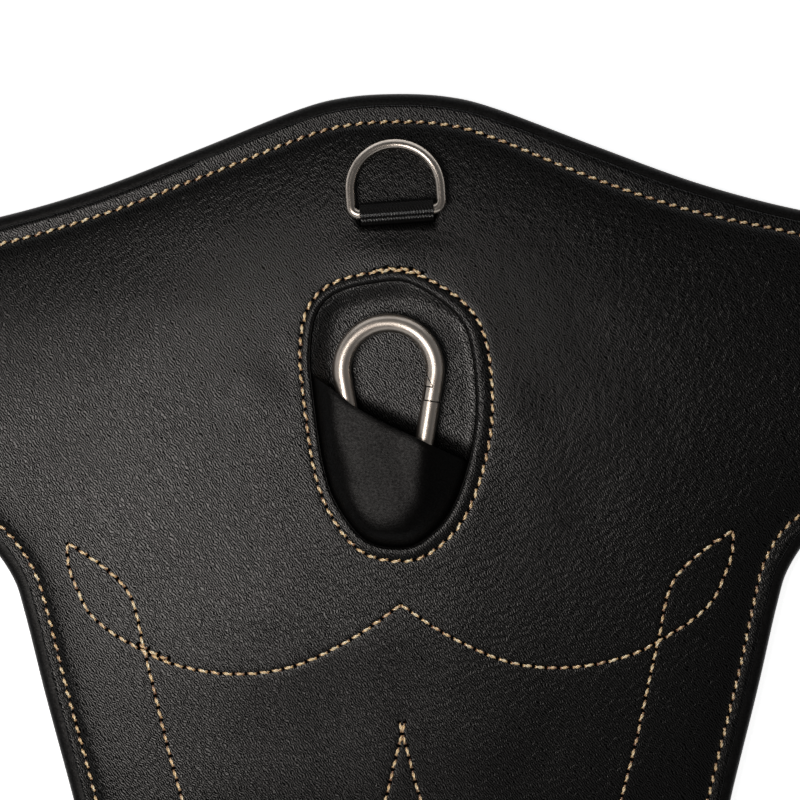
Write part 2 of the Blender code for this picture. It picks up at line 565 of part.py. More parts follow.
def make_strap_end(where, side, y, materials):
    """One elastic strap with its chape, buckle frame, tongue and roller."""
    near, far = sorted((side * ELASTIC_START_X, side * ELASTIC_END_X))
    half_thick = ELASTIC_THICK / 2
    box(f"elastic_{where}", (near, y - ELASTIC_WIDTH / 2, BUCKLE_Z - half_thick),
        (far, y + ELASTIC_WIDTH / 2, BUCKLE_Z + half_thick), materials["elastic"])

    heel = Vector((side * HEEL_X, y, BUCKLE_Z))
    place = lambda u, v, w: (side * (HEEL_X + u), y + w - CHAPE_WIDTH / 2, BUCKLE_Z + v)
    layer = ELASTIC_THICK / 2 + GAP + CHAPE_THICK / 2
    wrap = HEEL_WIRE + 0.25 + CHAPE_THICK / 2
    start = CHAPE_START_X - HEEL_X
    upper = [Vector((start, layer)), Vector((-7.5, layer)), Vector((-4.5, layer + 0.35))]
    lower = [Vector((p.x, -p.y)) for p in reversed(upper)]
    path = [*upper, *arc((0, 0), wrap, 105, -105, 12), *lower]
    chape = finish_object(f"chape_{where}", prism(ribbon(path, CHAPE_THICK), place, CHAPE_WIDTH),
                          materials["smooth_leather"], origin=(side * CHAPE_START_X, y, BUCKLE_Z))
    reach = sorted((side * (HEEL_X - 9.2), side * (HEEL_X + 9)))
    slot = box("cutter", (reach[0], y - 2.7, -5), (reach[1], y + 2.7, 15))
    cut_with(chape, slot)

    front = BUCKLE_REACH
    loop = rounded_loop((0, -FRAME_HALF), (front, FRAME_HALF), [FRAME_CORNER] * 4, 3)
    radii = []
    for p in loop:
        wire = HEEL_WIRE if p.x < 0.3 else FRONT_WIRE if p.x > front - 0.3 else FRAME_WIRE
        radii.append((wire, wire))
    path = [heel + Vector((side * p.x, p.y, 0)) for p in loop]
    frame = swept(path, radii, 8, closed=True)
    finish_object(f"buckle_frame_{where}", frame, materials["steel"], origin=heel)

    curl = HEEL_WIRE + 0.25 + CURL_HALF_THICK
    tip = [(front, ROLLER_RADIUS + 1.7), (front + 2.6, ROLLER_RADIUS + 1.0)]
    blade = [(2.4, 3.3), (9, 3.9), (17, 4.6), *tip]
    line = [*arc((0, 0), curl, 325, 95, 11), *smooth_curve(blade, 7)]
    path = [heel + Vector((side * p.x, 0, p.y)) for p in line]
    sizes = []
    for i in range(len(path)):
        share = max(0.0, (i - 12) / (len(path) - 13))
        thick = CURL_HALF_THICK + 0.3 * math.sin(math.pi * min(share * 1.1, 1.0))
        sizes.append((thick, TONGUE_HALF_WIDTH - 0.8 * share**2))
    tongue = swept(path, sizes, 8, up=Vector((0, 1, 0)), turn=0.5)
    finish_object(f"buckle_tongue_{where}", tongue, materials["steel"], origin=heel)

    axis = heel + Vector((side * front, 0, 0))
    half = ROLLER_LENGTH / 2
    bevel = 0.3
    section = [(ROLLER_BORE, -half), (ROLLER_RADIUS - bevel, -half), (ROLLER_RADIUS, bevel - half),
               (ROLLER_RADIUS, half - bevel), (ROLLER_RADIUS - bevel, half), (ROLLER_BORE, half)]
    shape = bmesh.new()
    around = 16
    made = []
    for k in range(around):
        a = 2 * math.pi * k / around
        turned = [Vector((r * math.cos(a), w, r * math.sin(a))) for r, w in section]
        made.append([shape.verts.new(axis + p) for p in turned])
    for k in range(around):
        near, far = made[k], made[(k + 1) % around]
        for m in range(len(section)):
            n = (m + 1) % len(section)
            shape.faces.new((near[m], near[n], far[n], far[m]))
    finish_object(f"buckle_roller_{where}", shape, materials["steel"], origin=axis)


def main():
    for obj in list(bpy.data.objects):
        bpy.data.objects.remove(obj)
    materials = make_materials()
    make_lining(materials)
    make_load_web(materials)
    make_padding(materials)
    make_outer_panel(materials)
    make_window_floor(materials)
    make_pocket(materials)
    make_snap_hook(materials)
    make_hook_strap(materials)
    make_dee(materials)
    for side_name, side in (("left", -1), ("right", 1)):
        make_cap(f"end_cap_{side_name}", side, materials)
        for row_name, row in (("front", 1), ("rear", -1)):
            make_strap_end(f"{side_name}_{row_name}", side, BAND_Y + row * STRAP_Y, materials)


main()
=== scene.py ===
"""Looks of the belly-guard girth: leathers, thread, steel, webbing, light and camera.

Shapes are written in millimetres in the CAD part's frame: X along the girth, +Y to its front edge, +Z
out of the grained leather. BAND_Y is the centre line of the girth's band.
"""

import math

import bmesh
import bpy
import numpy as np
from mathutils import Matrix, Vector, geometry, noise
from mathutils.kdtree import KDTree


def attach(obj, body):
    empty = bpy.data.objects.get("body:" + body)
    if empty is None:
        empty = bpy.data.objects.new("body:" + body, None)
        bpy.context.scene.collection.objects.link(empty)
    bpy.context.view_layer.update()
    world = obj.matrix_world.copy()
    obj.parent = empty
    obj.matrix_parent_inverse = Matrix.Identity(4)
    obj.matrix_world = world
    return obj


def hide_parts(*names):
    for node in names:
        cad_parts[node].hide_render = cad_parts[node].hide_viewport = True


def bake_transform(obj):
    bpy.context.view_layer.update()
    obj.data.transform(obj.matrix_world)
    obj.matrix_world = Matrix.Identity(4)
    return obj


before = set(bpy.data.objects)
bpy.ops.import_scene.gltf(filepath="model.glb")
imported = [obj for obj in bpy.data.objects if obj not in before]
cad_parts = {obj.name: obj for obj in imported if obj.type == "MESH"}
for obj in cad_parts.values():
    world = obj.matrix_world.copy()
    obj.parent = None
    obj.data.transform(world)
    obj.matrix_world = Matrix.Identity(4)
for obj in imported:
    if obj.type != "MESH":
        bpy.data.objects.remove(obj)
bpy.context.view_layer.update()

MM = 0.001
BAND_Y = 74.0
BAND_HALF = 37.0
PANEL_END_X, LINING_END_X = 206.0, 236.0
CAP_START_X, CAP_END_X = 204.5, 233.0
# outlines of the right half and of the window, as points from the middle of the band
FRONT_EDGE = [(0, 83), (16, 82), (31, 78.2), (62.5, 66), (94, 54.2), (125, 45.6), (160, 39.2), (200, 37)]
FLAP_EDGE = [(200, -37), (170, -38.5), (146, -45), (130, -54.5), (121, -66), (117, -78), (111, -103),
             (103, -134), (93.5, -172), (79, -203), (47, -225), (0, -231)]
WINDOW_SEAM = [(27.4, 6), (20.4, 18), (4.9, 27.2), (-8, 27.4), (-21.2, 23.8), (-28.4, 16.1), (-30.7, 3.2),
               (-30, -9), (-26.9, -32.7), (-22.1, -47.3), (-12.8, -59.4), (-1, -62.9), (8.7, -60.8),
               (19.4, -50.8), (26.3, -34), (29.3, -15.3)]
ROLL_WIDTH = 3.9
# left half of the ornamental seams, mirrored for the right; each ends at the middle
LEAF_LOW = [(-104.1, -56), (-103.8, -63.4), (-101.1, -70.6), (-98.1, -77.2), (-93.9, -81.6), (-89.1, -85.2),
            (-83.2, -88.6), (-75.4, -92.8), (-68.2, -95.2), (-59.3, -97), (-51, -97.6), (-41.3, -97),
            (-31.3, -94.6), (-21.7, -90.3), (-12.1, -85), (-5.4, -80.3), (0.3, -76.3)]
LEAF_HIGH = [(-104.1, -56), (-93.9, -62.9), (-86.1, -70.1), (-82.8, -77.8), (-81.1, -86.8), (-79.5, -93.5),
             (-77, -104), (-73.4, -120), (-68.9, -136.7), (-63, -157), (-54, -178), (-38, -194),
             (-18, -202), (0, -204)]
DROP = [(0.9, -113.1), (-2, -124), (-5.5, -137.5), (-11, -152), (-16, -166), (-16, -178), (-9, -187),
        (0, -190)]

SNAP_X, SNAP_Y, SNAP_Z = -3.1, BAND_Y - 44.45, 9.3
DEE_X, DEE_Y, DEE_Z = 0.0, BAND_Y + 46.2, 13.4
DEE_SPIN, DEE_DROOP = math.radians(3.6), math.radians(-4)
FLOOR_TOP = 6.0
BORDER_TOP = 6.15
STITCH_DENT = 0.6


# ---- curves --------------------------------------------------------------------------
def through(points, step, closed=False):
    """A Catmull-Rom curve as an array of points about step apart."""
    pts = [np.array(p, float) for p in points]
    if closed:
        around = [pts[-1], *pts, pts[0], pts[1]]
    else:
        around = [2 * pts[0] - pts[1], *pts, 2 * pts[-1] - pts[-2]]
    line = []
    for a, b, c, d in zip(around, around[1:], around[2:], around[3:]):
        count = max(1, round(np.linalg.norm(c - b) / step))
        for k in range(count):
            t = k / count
            line.append(0.5 * (2 * b + (c - a) * t + (2 * a - 5 * b + 4 * c - d) * t**2
                               + (3 * b - a - 3 * c + d) * t**3))
    if not closed:
        line.append(pts[-1])
    return np.array(line)


def arc(centre, radius, start, end, count):
    a = np.radians(np.linspace(start, end, count + 1))
    return np.stack([centre[0] + radius * np.cos(a), centre[1] + radius * np.sin(a)], 1)


def unit(vectors):
    return vectors / np.linalg.norm(vectors, axis=1)[:, None]


def to_the_left(along):
    return np.stack([-along[:, 1], along[:, 0]], 1)


def run_along(line):
    """The way along a line to each of its points."""
    return np.concatenate([[0], np.cumsum(np.linalg.norm(np.diff(line, axis=0), axis=1))])


def resampled(line, step, closed=False):
    """Points a step apart along a line."""
    pts = np.vstack([line, line[:1]]) if closed else line
    run = run_along(pts)
    count = max(2, round(run[-1] / step))
    at = np.linspace(0, run[-1], count + 1)
    if closed:
        at = at[:-1]
    return np.stack([np.interp(at, run, pts[:, k]) for k in range(pts.shape[1])], 1)


def inset(loop, distance):
    """A counter-clockwise loop moved inwards; distance may differ from point to point."""
    across = to_the_left(unit(np.roll(loop, -1, 0) - np.roll(loop, 1, 0)))
    return loop + across * np.broadcast_to(distance, len(loop))[:, None]


def edge_outline(end_x, corner):
    """The girth's outline, counter-clockwise, cut off at end_x with round corners."""
    straight, step = end_x - corner, 2.0
    front = [p for p in FRONT_EDGE if p[0] < straight - 1]
    flap = [p for p in FLAP_EDGE if p[0] < straight - 1]
    mirrored = [(-front[1][0], front[1][1]), (-flap[-2][0], flap[-2][1])]
    top = through([mirrored[0], *front, (straight, BAND_HALF)], step)[:-1]
    low = through([(straight, -BAND_HALF), *flap, mirrored[1]], step)[1:]
    top, low = top[top[:, 0] > -0.01], low[low[:, 0] > -0.01]
    right = np.vstack([top, arc((straight, BAND_HALF - corner), corner, 90, 0, 12),
                       arc((straight, corner - BAND_HALF), corner, 0, -90, 12), low])
    left = right[1:-1][::-1] * (-1, 1)
    return resampled(np.vstack([right, left])[::-1] + (0, BAND_Y), step, True)


def window_loop(inwards, step=1.2):
    return inset(resampled(through(WINDOW_SEAM, step, True) + (0, BAND_Y), step, True), inwards)


def rim_loop(extra=0.0):
    """The opening's edge: its rim is narrow at the top and wide on the right."""
    seam = window_loop(0)
    x, y = seam[:, 0], seam[:, 1] - BAND_Y
    right = 1.0 * np.clip(x / 29, -1, 1)
    top = 0.9 * np.clip((y - 2) / 25, 0, 1)
    foot = 0.3 * np.clip((-y - 40) / 20, 0, 1)
    return inset(seam, np.maximum(3.05 + right - top + foot, 2.2) + extra)


def inside(points, loop):
    """Which points lie inside a closed loop."""
    found = np.zeros(len(points), bool)
    ends = np.roll(loop, -1, 0)
    for a, b in zip(loop, ends):
        if a[1] == b[1]:
            continue
        crosses = (a[1] > points[:, 1]) != (b[1] > points[:, 1])
        found ^= crosses & (points[:, 0] < a[0] + (b[0] - a[0]) * (points[:, 1] - a[1]) / (b[1] - a[1]))
    return found


class Line:
    """Quick distances from points to the nearest of some lines."""

    def __init__(self, *lines, closed=True):
        pts = np.vstack([resampled(np.asarray(line)[:, :2], 0.35, closed) for line in lines])
        self.tree = KDTree(len(pts))
        for i, p in enumerate(pts):
            self.tree.insert((p[0], p[1], 0), i)
        self.tree.balance()

    def off(self, points):
        return np.array([self.tree.find((p[0], p[1], 0))[2] for p in points])


def bump(off, width):
    """1 at off = 0, and fading away over a width."""
    return np.exp(-(off / width) ** 2)


def waves(points, size, seed=0.0):
    """Soft random waves from about -1 to 1."""
    return np.array([noise.noise((p[0] / size, p[1] / size, seed)) * 1.6 for p in points])


# ---- meshes --------------------------------------------------------------------------
def new_object(name, verts, faces, material, body="girth", replaces=(), uv=None):
    """An object from points in millimetres that rides on a body."""
    mesh = bpy.data.meshes.new(name)
    mesh.from_pydata((np.asarray(verts, float) * MM).tolist(), [], [list(f) for f in faces])
    mesh.update()
    if uv is not None:
        layer = mesh.uv_layers.new(name="UVMap")
        corner = np.zeros(len(mesh.loops), int)
        mesh.loops.foreach_get("vertex_index", corner)
        layer.data.foreach_set("uv", np.asarray(uv, float)[corner].ravel())
    mesh.shade_smooth()
    mesh.materials.append(material)
    obj = bpy.data.objects.new(name, mesh)
    bpy.context.scene.collection.objects.link(obj)
    if body:
        settle(obj, body, replaces)
    return obj


def settle(obj, body, replaces=()):
    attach(obj, body)
    if replaces:
        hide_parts(*replaces)
    return obj


def outwards(obj, weld=0.0):
    """Joins loose edges and turns the normals out."""
    shape = bmesh.new()
    shape.from_mesh(obj.data)
    if weld:
        bmesh.ops.remove_doubles(shape, verts=shape.verts, dist=weld * MM)
    bmesh.ops.recalc_face_normals(shape, faces=shape.faces)
    shape.to_mesh(obj.data)
    shape.free()
    obj.data.shade_smooth()
    return obj


def grid_faces(rows, columns, wrap_rows=False, wrap_columns=False, first=0):
    faces = []
    for r in range(rows if wrap_rows else rows - 1):
        for c in range(columns if wrap_columns else columns - 1):
            s, d = (r + 1) % rows, (c + 1) % columns
            faces.append((first + r * columns + c, first + r * columns + d, first + s * columns + d,
                          first + s * columns + c))
    return faces


def tube_faces(rows, sides, closed=False):
    """Faces between rings of points, with flat ends unless the tube is closed."""
    faces = grid_faces(rows, sides, wrap_rows=closed, wrap_columns=True)
    if not closed:
        faces += [tuple(range(sides))[::-1], tuple(range((rows - 1) * sides, rows * sides))]
    return faces


def tube_uv(run, sides):
    """UV of a tube: the way along it and the share of a turn."""
    return np.stack(np.meshgrid(run, np.arange(sides) / sides, indexing="ij"), -1).reshape(-1, 2)


def between(points, loops):
    """Which points lie inside the first loop and outside the others."""
    found = inside(points, loops[0])
    for hole in loops[1:]:
        found &= ~inside(points, hole)
    return found


def clear_of(points, loops, gap):
    """Which points keep a gap from all loops."""
    clear = np.ones(len(points), bool)
    for loop in loops:
        clear &= Line(loop).off(points) > gap
    return clear


def thinned(points, cell):
    """The first point of every square cell."""
    kept = {}
    for p in points:
        kept.setdefault((round(p[0] / cell), round(p[1] / cell)), p)
    return np.array(list(kept.values()))


def sheet_mesh(loops, seams, spacing, height, near=(0.0,)):
    """Points and triangles of a sheet between loops, denser along its seams. loops[0] is the outside."""
    low, high = loops[0].min(0), loops[0].max(0)
    xs = np.arange(low[0], high[0], spacing)
    ys = np.arange(low[1], high[1], spacing * math.sqrt(3) / 2)
    field = np.array([(x + (spacing / 2 if j % 2 else 0), y) for j, y in enumerate(ys) for x in xs])
    field = field[between(field, loops)]
    keep = clear_of(field, loops, spacing * 0.45)
    extra, fine_step = [], 0.9
    for line, closed in seams:
        fine = resampled(line, fine_step, closed)
        across = to_the_left(unit(np.gradient(fine, axis=0)))
        extra += [fine + across * d for d in near]
        keep &= Line(line, closed=closed).off(field) > max(near) + 0.5
    field = field[keep]
    if extra:
        extra = np.vstack(extra)
        extra = extra[between(extra, loops)]
        extra = extra[clear_of(extra, loops, 0.4)]
        field = np.vstack([field, thinned(extra, fine_step / 2)])
    points = np.vstack([*loops, field])
    edges, first = [], 0
    for loop in loops:
        n = len(loop)
        edges += [(first + i, first + (i + 1) % n) for i in range(n)]
        first += n
    found = geometry.delaunay_2d_cdt([Vector(p) for p in points], edges, [], 0, 1e-5)
    flat = np.array([tuple(v) for v in found[0]])
    faces = np.array([f for f in found[2] if len(f) == 3])
    good = between(flat[faces].mean(1), loops)
    return np.column_stack([flat, height(flat)]), faces[good].tolist()


def add_walls(verts, faces, loop, height, section):
    """Wraps an edge of a sheet down through (inwards, drop) steps."""
    verts = np.asarray(verts)
    top = height(loop)
    rings = [np.column_stack([inset(loop, inwards), top + drop]) for inwards, drop in section]
    walls = grid_faces(len(rings), len(loop), wrap_columns=True, first=len(verts))
    return np.vstack([verts, *rings]), faces + walls


def sweep(path, radii, sides, closed=False, up=(0, 0, 1), power=2.0):
    """Points, faces and UV of a tube along a 3-D path, with flat ends unless it is closed."""
    path = np.asarray(path, float)
    n = len(path)
    radii = np.broadcast_to(np.asarray(radii, float), (n, 2))
    after = np.roll(path, -1, 0)
    before = np.roll(path, 1, 0)
    if not closed:
        after[-1], before[0] = path[-1], path[0]
    along = unit(after - before)
    side = unit(np.cross(along, np.array(up, float)))
    top = np.cross(side, along)
    a = math.tau * (np.arange(sides) + 0.5) / sides
    ca, sa = np.cos(a), np.sin(a)
    ca, sa = np.sign(ca) * np.abs(ca) ** (2 / power), np.sign(sa) * np.abs(sa) ** (2 / power)
    verts = (path[:, None] + side[:, None] * (radii[:, :1] * ca)[..., None]
             + top[:, None] * (radii[:, 1:] * sa)[..., None]).reshape(-1, 3)
    return verts, tube_faces(n, sides, closed), tube_uv(run_along(path), sides)


def placed(verts, matrix):
    m = np.array(matrix)
    return np.asarray(verts) @ m[:3, :3].T + m[:3, 3]


def ribbon(path, width, thick, place, corner=0.25):
    """A strap that follows a 2-D path: place(u, v, w) gives the point for w across its width."""
    path = np.asarray(path, float)
    normal = to_the_left(unit(np.gradient(path, axis=0)))
    half, t = width / 2, thick / 2
    c = min(corner, t * 0.9)
    corners = ((half - c, t - c, 0), (c - half, t - c, 90), (c - half, c - t, 180), (half - c, c - t, 270))
    section = []
    for cx, cy, start in corners:
        for turn in (0, 30, 60, 90):
            a = math.radians(start + turn)
            section.append((cx + c * math.cos(a), cy + c * math.sin(a)))
    run = run_along(path)
    verts, uv = [], []
    for p, n, r in zip(path, normal, run):
        for w, h in section:
            q = p + n * h
            verts.append(place(q[0], q[1], w))
            uv.append((r, w))
    return verts, tube_faces(len(path), len(section)), uv


def cut_with(obj, cutter, operation="DIFFERENCE"):
    """Cuts or joins obj with a cutter, whose material stays on the cut faces."""
    modifier = obj.modifiers.new("cut", "BOOLEAN")
    modifier.operation, modifier.object, modifier.solver = operation, cutter, "EXACT"
    modifier.material_mode = "TRANSFER"
    bpy.context.view_layer.update()
    graph = bpy.context.evaluated_depsgraph_get()
    mesh = bpy.data.meshes.new_from_object(obj.evaluated_get(graph))
    obj.modifiers.remove(modifier)
    obj.data = mesh
    bpy.data.objects.remove(cutter)
    return obj


def crisp(obj, width=0.08, angle=35):
    """Fine rounded edges and smooth shading elsewhere."""
    obj.data.shade_smooth()
    obj.data.set_sharp_from_angle(angle=math.radians(angle))
    bevel = obj.modifiers.new("edge", "BEVEL")
    bevel.width, bevel.segments = width * MM, 2
    bevel.limit_method = "ANGLE"
    bevel.angle_limit = math.radians(angle)
    bevel.harden_normals = True
    return obj


# ---- materials -----------------------------------------------------------------------
class Shader:
    """A node material being put together."""

    def __init__(self, name):
        self.material = bpy.data.materials.new(name)
        self.material.use_nodes = True
        self.tree = self.material.node_tree
        self.bsdf = self.tree.nodes["Principled BSDF"]

    def node(self, kind, inputs=None, **settings):
        made = self.tree.nodes.new(kind)
        for key, value in settings.items():
            setattr(made, key, value)
        for key, value in (inputs or {}).items():
            if isinstance(value, bpy.types.NodeSocket):
                self.tree.links.new(value, made.inputs[key])
            else:
                made.inputs[key].default_value = value
        return made

    def coordinates(self, kind):
        return self.node("ShaderNodeTexCoord").outputs[kind]

    def maths(self, operation, a, b=0.0):
        return self.node("ShaderNodeMath", {0: a, 1: b}, operation=operation).outputs[0]

    def add(self, a, b):
        return self.maths("ADD", a, b)

    def times(self, a, b):
        return self.maths("MULTIPLY", a, b)

    def vector(self, operation, inputs, output=0):
        return self.node("ShaderNodeVectorMath", inputs, operation=operation).outputs[output]

    def grain_space(self, angle, sizes, warp=0.0, warp_size=3.0):
        """Object coordinates turned about Z and divided by feature sizes in millimetres."""
        place = self.coordinates("Object")
        turned = self.node("ShaderNodeVectorRotate", {"Vector": place, "Angle": math.radians(angle)},
                           rotation_type="Z_AXIS").outputs[0]
        scale = tuple(1 / MM / size for size in sizes)
        space = self.vector("MULTIPLY", {0: turned, 1: scale})
        if warp:
            settings = {"Vector": place, "Scale": 1 / MM / warp_size, "Detail": 2.0}
            drift = self.node("ShaderNodeTexNoise", settings).outputs["Color"]
            push = self.vector("SUBTRACT", {0: drift, 1: (0.5, 0.5, 0.5)})
            push = self.vector("SCALE", {0: push, "Scale": warp})
            space = self.vector("ADD", {0: space, 1: push})
        return space

    def noise(self, space, detail=2.0, roughness=0.5):
        settings = {"Vector": space, "Scale": 1.0, "Detail": detail, "Roughness": roughness}
        return self.node("ShaderNodeTexNoise", settings).outputs["Fac"]

    def mapped(self, value, start, end, low, high, **settings):
        """Maps start to end onto low to high."""
        ends = {"Value": value, "From Min": start, "From Max": end, "To Min": low, "To Max": high}
        return self.node("ShaderNodeMapRange", ends, **settings).outputs[0]

    def specks(self, size, detail=2.0, roughness=0.5):
        """Round noise whose features are about size millimetres wide."""
        return self.noise(self.grain_space(0, (size, size, size)), detail, roughness)

    def spread(self, value, low, high):
        """Maps the middle range of a noise onto low to high."""
        return self.mapped(value, 0.3, 0.7, low, high)

    def colours(self, value, *stops):
        ramp = self.node("ShaderNodeValToRGB", {"Fac": value})
        elements = ramp.color_ramp.elements
        while len(elements) < len(stops):
            elements.new(0.5)
        for element, (position, colour) in zip(elements, stops):
            element.position = position
            element.color = (*colour, 1)
        return ramp.outputs["Color"]

    def bumped(self, *layers):
        """Bump layers of (height socket, depth in millimetres)."""
        normal = None
        for height, depth in layers:
            inputs = {"Height": height, "Strength": 1.0, "Distance": depth * MM}
            if normal is not None:
                inputs["Normal"] = normal
            normal = self.node("ShaderNodeBump", inputs).outputs[0]
        self.tree.links.new(normal, self.bsdf.inputs["Normal"])

    def set(self, **values):
        for key, value in values.items():
            socket = self.bsdf.inputs[key.replace("_", " ")]
            if isinstance(value, bpy.types.NodeSocket):
                self.tree.links.new(value, socket)
            else:
                socket.default_value = value
        return self.material


GRAIN_TURN, GRAIN_PITCH, GRAIN_DEPTH = 52, 0.735, 0.068
# painted shadow of the pocket's mouth: the window floor's shine fades towards the mouth; the way out of the
# pocket, a point of the mouth and the width of the painted shadow
POCKET_SIDE = (0.42, 0.907, 0.0)
MOUTH_X, MOUTH_Y = -20, BAND_Y - 9.4
MOUTH_SHADOW_WIDTH = 3.8


def grained_leather(name, shine, mouth_shadow=False):
    """Black printed grain: short wavy ridges that run down to the right, shining on their crests."""
    s = Shader(name)
    space = s.grain_space(GRAIN_TURN, (1, GRAIN_PITCH, 1))
    across = s.node("ShaderNodeSeparateXYZ", {"Vector": space}).outputs[1]
    drift = s.noise(s.grain_space(GRAIN_TURN, (1.2, 2.0, 2.0)), 1.0)
    cycles = s.add(across, s.times(drift, 2.2))
    wave = s.maths("SINE", s.times(cycles, math.tau))
    broken = s.spread(s.noise(s.grain_space(GRAIN_TURN, (0.75, 0.64, 0.64)), 1.0), 0.3, 1.0)
    crest = s.add(s.times(s.times(wave, broken), 0.5), 0.5)
    wide = s.specks(34)
    colour = s.colours(crest, (0.2, (0.0003, 0.0003, 0.0003)), (0.85, (0.0036, 0.0034, 0.0032)))
    rough = s.add(s.times(crest, -0.06), 0.36)
    rough = s.add(s.spread(wide, -0.01, 0.01), rough)
    gloss = s.mapped(crest, 0.12, 0.95, 0.02 * shine, 2.2 * shine)
    if mouth_shadow:
        # painted shadow of the pocket's mouth: the floor's gloss drops to a small share along the mouth
        place = s.coordinates("Object")
        above = s.vector("DOT_PRODUCT", {0: place, 1: POCKET_SIDE}, "Value")
        mouth = (POCKET_SIDE[0] * MOUTH_X + POCKET_SIDE[1] * MOUTH_Y) * MM
        unshadowed = s.mapped(above, mouth, mouth + MOUTH_SHADOW_WIDTH * MM, 0.08, 1.0,
                        interpolation_type="SMOOTHSTEP")
        gloss = s.times(gloss, unshadowed)
    s.bumped((crest, GRAIN_DEPTH))
    return s.set(Base_Color=colour, Roughness=rough, Specular_IOR_Level=gloss)


def smooth_leather(name, roughness, shine):
    """Smooth dyed leather of the pocket, lining and chapes, and of the duller rolled edge."""
    s = Shader(name)
    pores = s.noise(s.grain_space(20, (0.62, 0.5, 0.55)), 2.0)
    creases = s.noise(s.grain_space(35, (5.5, 2.2, 3.0), warp=0.8, warp_size=9), 3.0, 0.6)
    wide = s.specks(22)
    colour = s.colours(creases, (0.3, (0.0009, 0.0008, 0.0008)), (0.7, (0.0018, 0.0016, 0.0015)))
    rough = s.add(s.spread(wide, roughness - 0.02, roughness + 0.02), s.spread(pores, 0.02, -0.02))
    gloss = s.spread(pores, 0.55 * shine, 1.45 * shine)
    s.bumped((creases, 0.07), (pores, 0.035))
    return s.set(Base_Color=colour, Roughness=rough, Specular_IOR_Level=gloss)


def thread(name, dark, middle, light):
    """Waxed thread, a shade different in each ply, with painted shade where it enters the leather."""
    s = Shader(name)
    shade = s.node("ShaderNodeNewGeometry").outputs["Random Per Island"]
    fibres = s.specks(0.2)
    uv = s.coordinates("UV")
    along = s.node("ShaderNodeSeparateXYZ", {"Vector": uv}).outputs[0]
    # painted shade: the colour darkens towards both ends of each stitch
    ends = s.maths("POWER", s.maths("ABSOLUTE", s.add(along, -0.5)), 2.0)
    value = s.add(s.times(shade, 0.5), s.times(fibres, 0.7))
    value = s.add(value, s.times(ends, -2.8))
    colour = s.colours(value, (0.15, dark), (0.5, middle), (0.9, light))
    s.bumped((fibres, 0.06))
    return s.set(Base_Color=colour, Roughness=0.3, IOR=2.1, Specular_IOR_Level=1.0)


def needle_hole_shade():
    """Painted shade of the pierced needle holes at a stitch's ends."""
    s = Shader("needle_hole_shade")
    torn = s.specks(0.15)
    colour = s.colours(torn, (0.3, (0.0004, 0.0004, 0.0004)), (0.7, (0.0012, 0.001, 0.001)))
    s.bumped((torn, 0.05))
    return s.set(Base_Color=colour, Roughness=0.9, Specular_IOR_Level=0.05)


def steel(name, smoothest, roughest):
    """Stainless steel with fine polishing lines along the wire."""
    s = Shader(name)
    uv = s.coordinates("UV")
    lines = s.noise(s.vector("MULTIPLY", {0: uv, 1: (0.09, 46.0, 1.0)}), 3.0, 0.6)
    specks = s.specks(0.8, 3.0, 0.65)
    wide = s.specks(9)
    colour = s.colours(wide, (0.3, (0.52, 0.46, 0.405)), (0.7, (0.63, 0.57, 0.51)))
    rough = s.add(s.spread(lines, smoothest, roughest), s.spread(specks, -0.03, 0.05))
    s.bumped((lines, 0.012), (specks, 0.003))
    return s.set(Base_Color=colour, Metallic=1.0, Roughness=rough)


def sawn_steel():
    """Dark, unpolished steel on the faces inside the saw cuts and bores."""
    s = Shader("sawn_steel")
    marks = s.noise(s.grain_space(30, (0.12, 1.5, 0.3)), 2.0)
    colour = s.colours(marks, (0.3, (0.012, 0.011, 0.010)), (0.7, (0.035, 0.03, 0.026)))
    s.bumped((marks, 0.01))
    return s.set(Base_Color=colour, Metallic=0.6, Roughness=0.6)


def webbing(name, across, along, colour_low, colour_high, slant, shine=0.4):
    """Woven tape: diagonal ribs from its UV, which is in millimetres."""
    s = Shader(name)
    uv = s.coordinates("UV")
    parts = s.node("ShaderNodeSeparateXYZ", {"Vector": uv})
    u, v = parts.outputs[0], parts.outputs[1]
    across_wave = s.times(v, math.tau / across)
    along_wave = s.times(u, slant * math.tau / across)
    rib = s.maths("SINE", s.add(across_wave, along_wave))
    pick = s.maths("SINE", s.times(u, math.tau / along))
    fuzz = s.specks(0.18)
    height = s.add(s.times(rib, 0.5), s.times(pick, 0.28))
    shade = s.add(s.times(height, 0.4), 0.5)
    colour = s.colours(shade, (0.3, colour_low), (0.85, colour_high))
    s.bumped((height, 0.12), (fuzz, 0.03))
    return s.set(Base_Color=colour, Roughness=0.5, Specular_IOR_Level=shine)


GRAIN = grained_leather("grained_leather", 0.315)
FLOOR_GRAIN = grained_leather("window_floor_leather", 0.44, mouth_shadow=True)
THREAD = thread("gold_thread", (0.26, 0.09, 0.02), (0.98, 0.66, 0.28), (1.0, 0.91, 0.62))
RIB = thread("tape_rib_yarn", (0.01, 0.01, 0.01), (0.03, 0.03, 0.03), (0.06, 0.058, 0.055))
HOLE_SHADE = needle_hole_shade()
STEEL = steel("satin_steel", 0.29, 0.40)
BRIGHT_STEEL = steel("bright_steel", 0.20, 0.30)
SAWN = sawn_steel()
SMOOTH = smooth_leather("smooth_leather", 0.36, 0.10)
ROLLED = smooth_leather("rolled_edge_leather", 0.46, 0.22)
TAPE = webbing("twill_tape", 0.95, 1.5, (0.0006, 0.0006, 0.0006), (0.006, 0.0057, 0.0054), 0.75, 0.12)
ELASTIC = webbing("ribbed_elastic", 1.3, 0.62, (0.002, 0.002, 0.002), (0.014, 0.014, 0.0145), 0.0)

# ---- seams ---------------------------------------------------------------------------
EDGE = edge_outline(PANEL_END_X, 18)
FULL_EDGE = edge_outline(LINING_END_X, 12)


def fullness(loop):
    """How far the padded edge swells past the cut outline, most along the flap."""
    return 0.65 + 0.45 * np.clip((BAND_Y - 40 - loop[:, 1]) / 30, 0, 1)


ROUND_EDGE = inset(FULL_EDGE, -fullness(FULL_EDGE))
PANEL_EDGE = inset(EDGE, ROLL_WIDTH - fullness(EDGE))
HOLE = rim_loop()
WINDOW_LINE = window_loop(0)


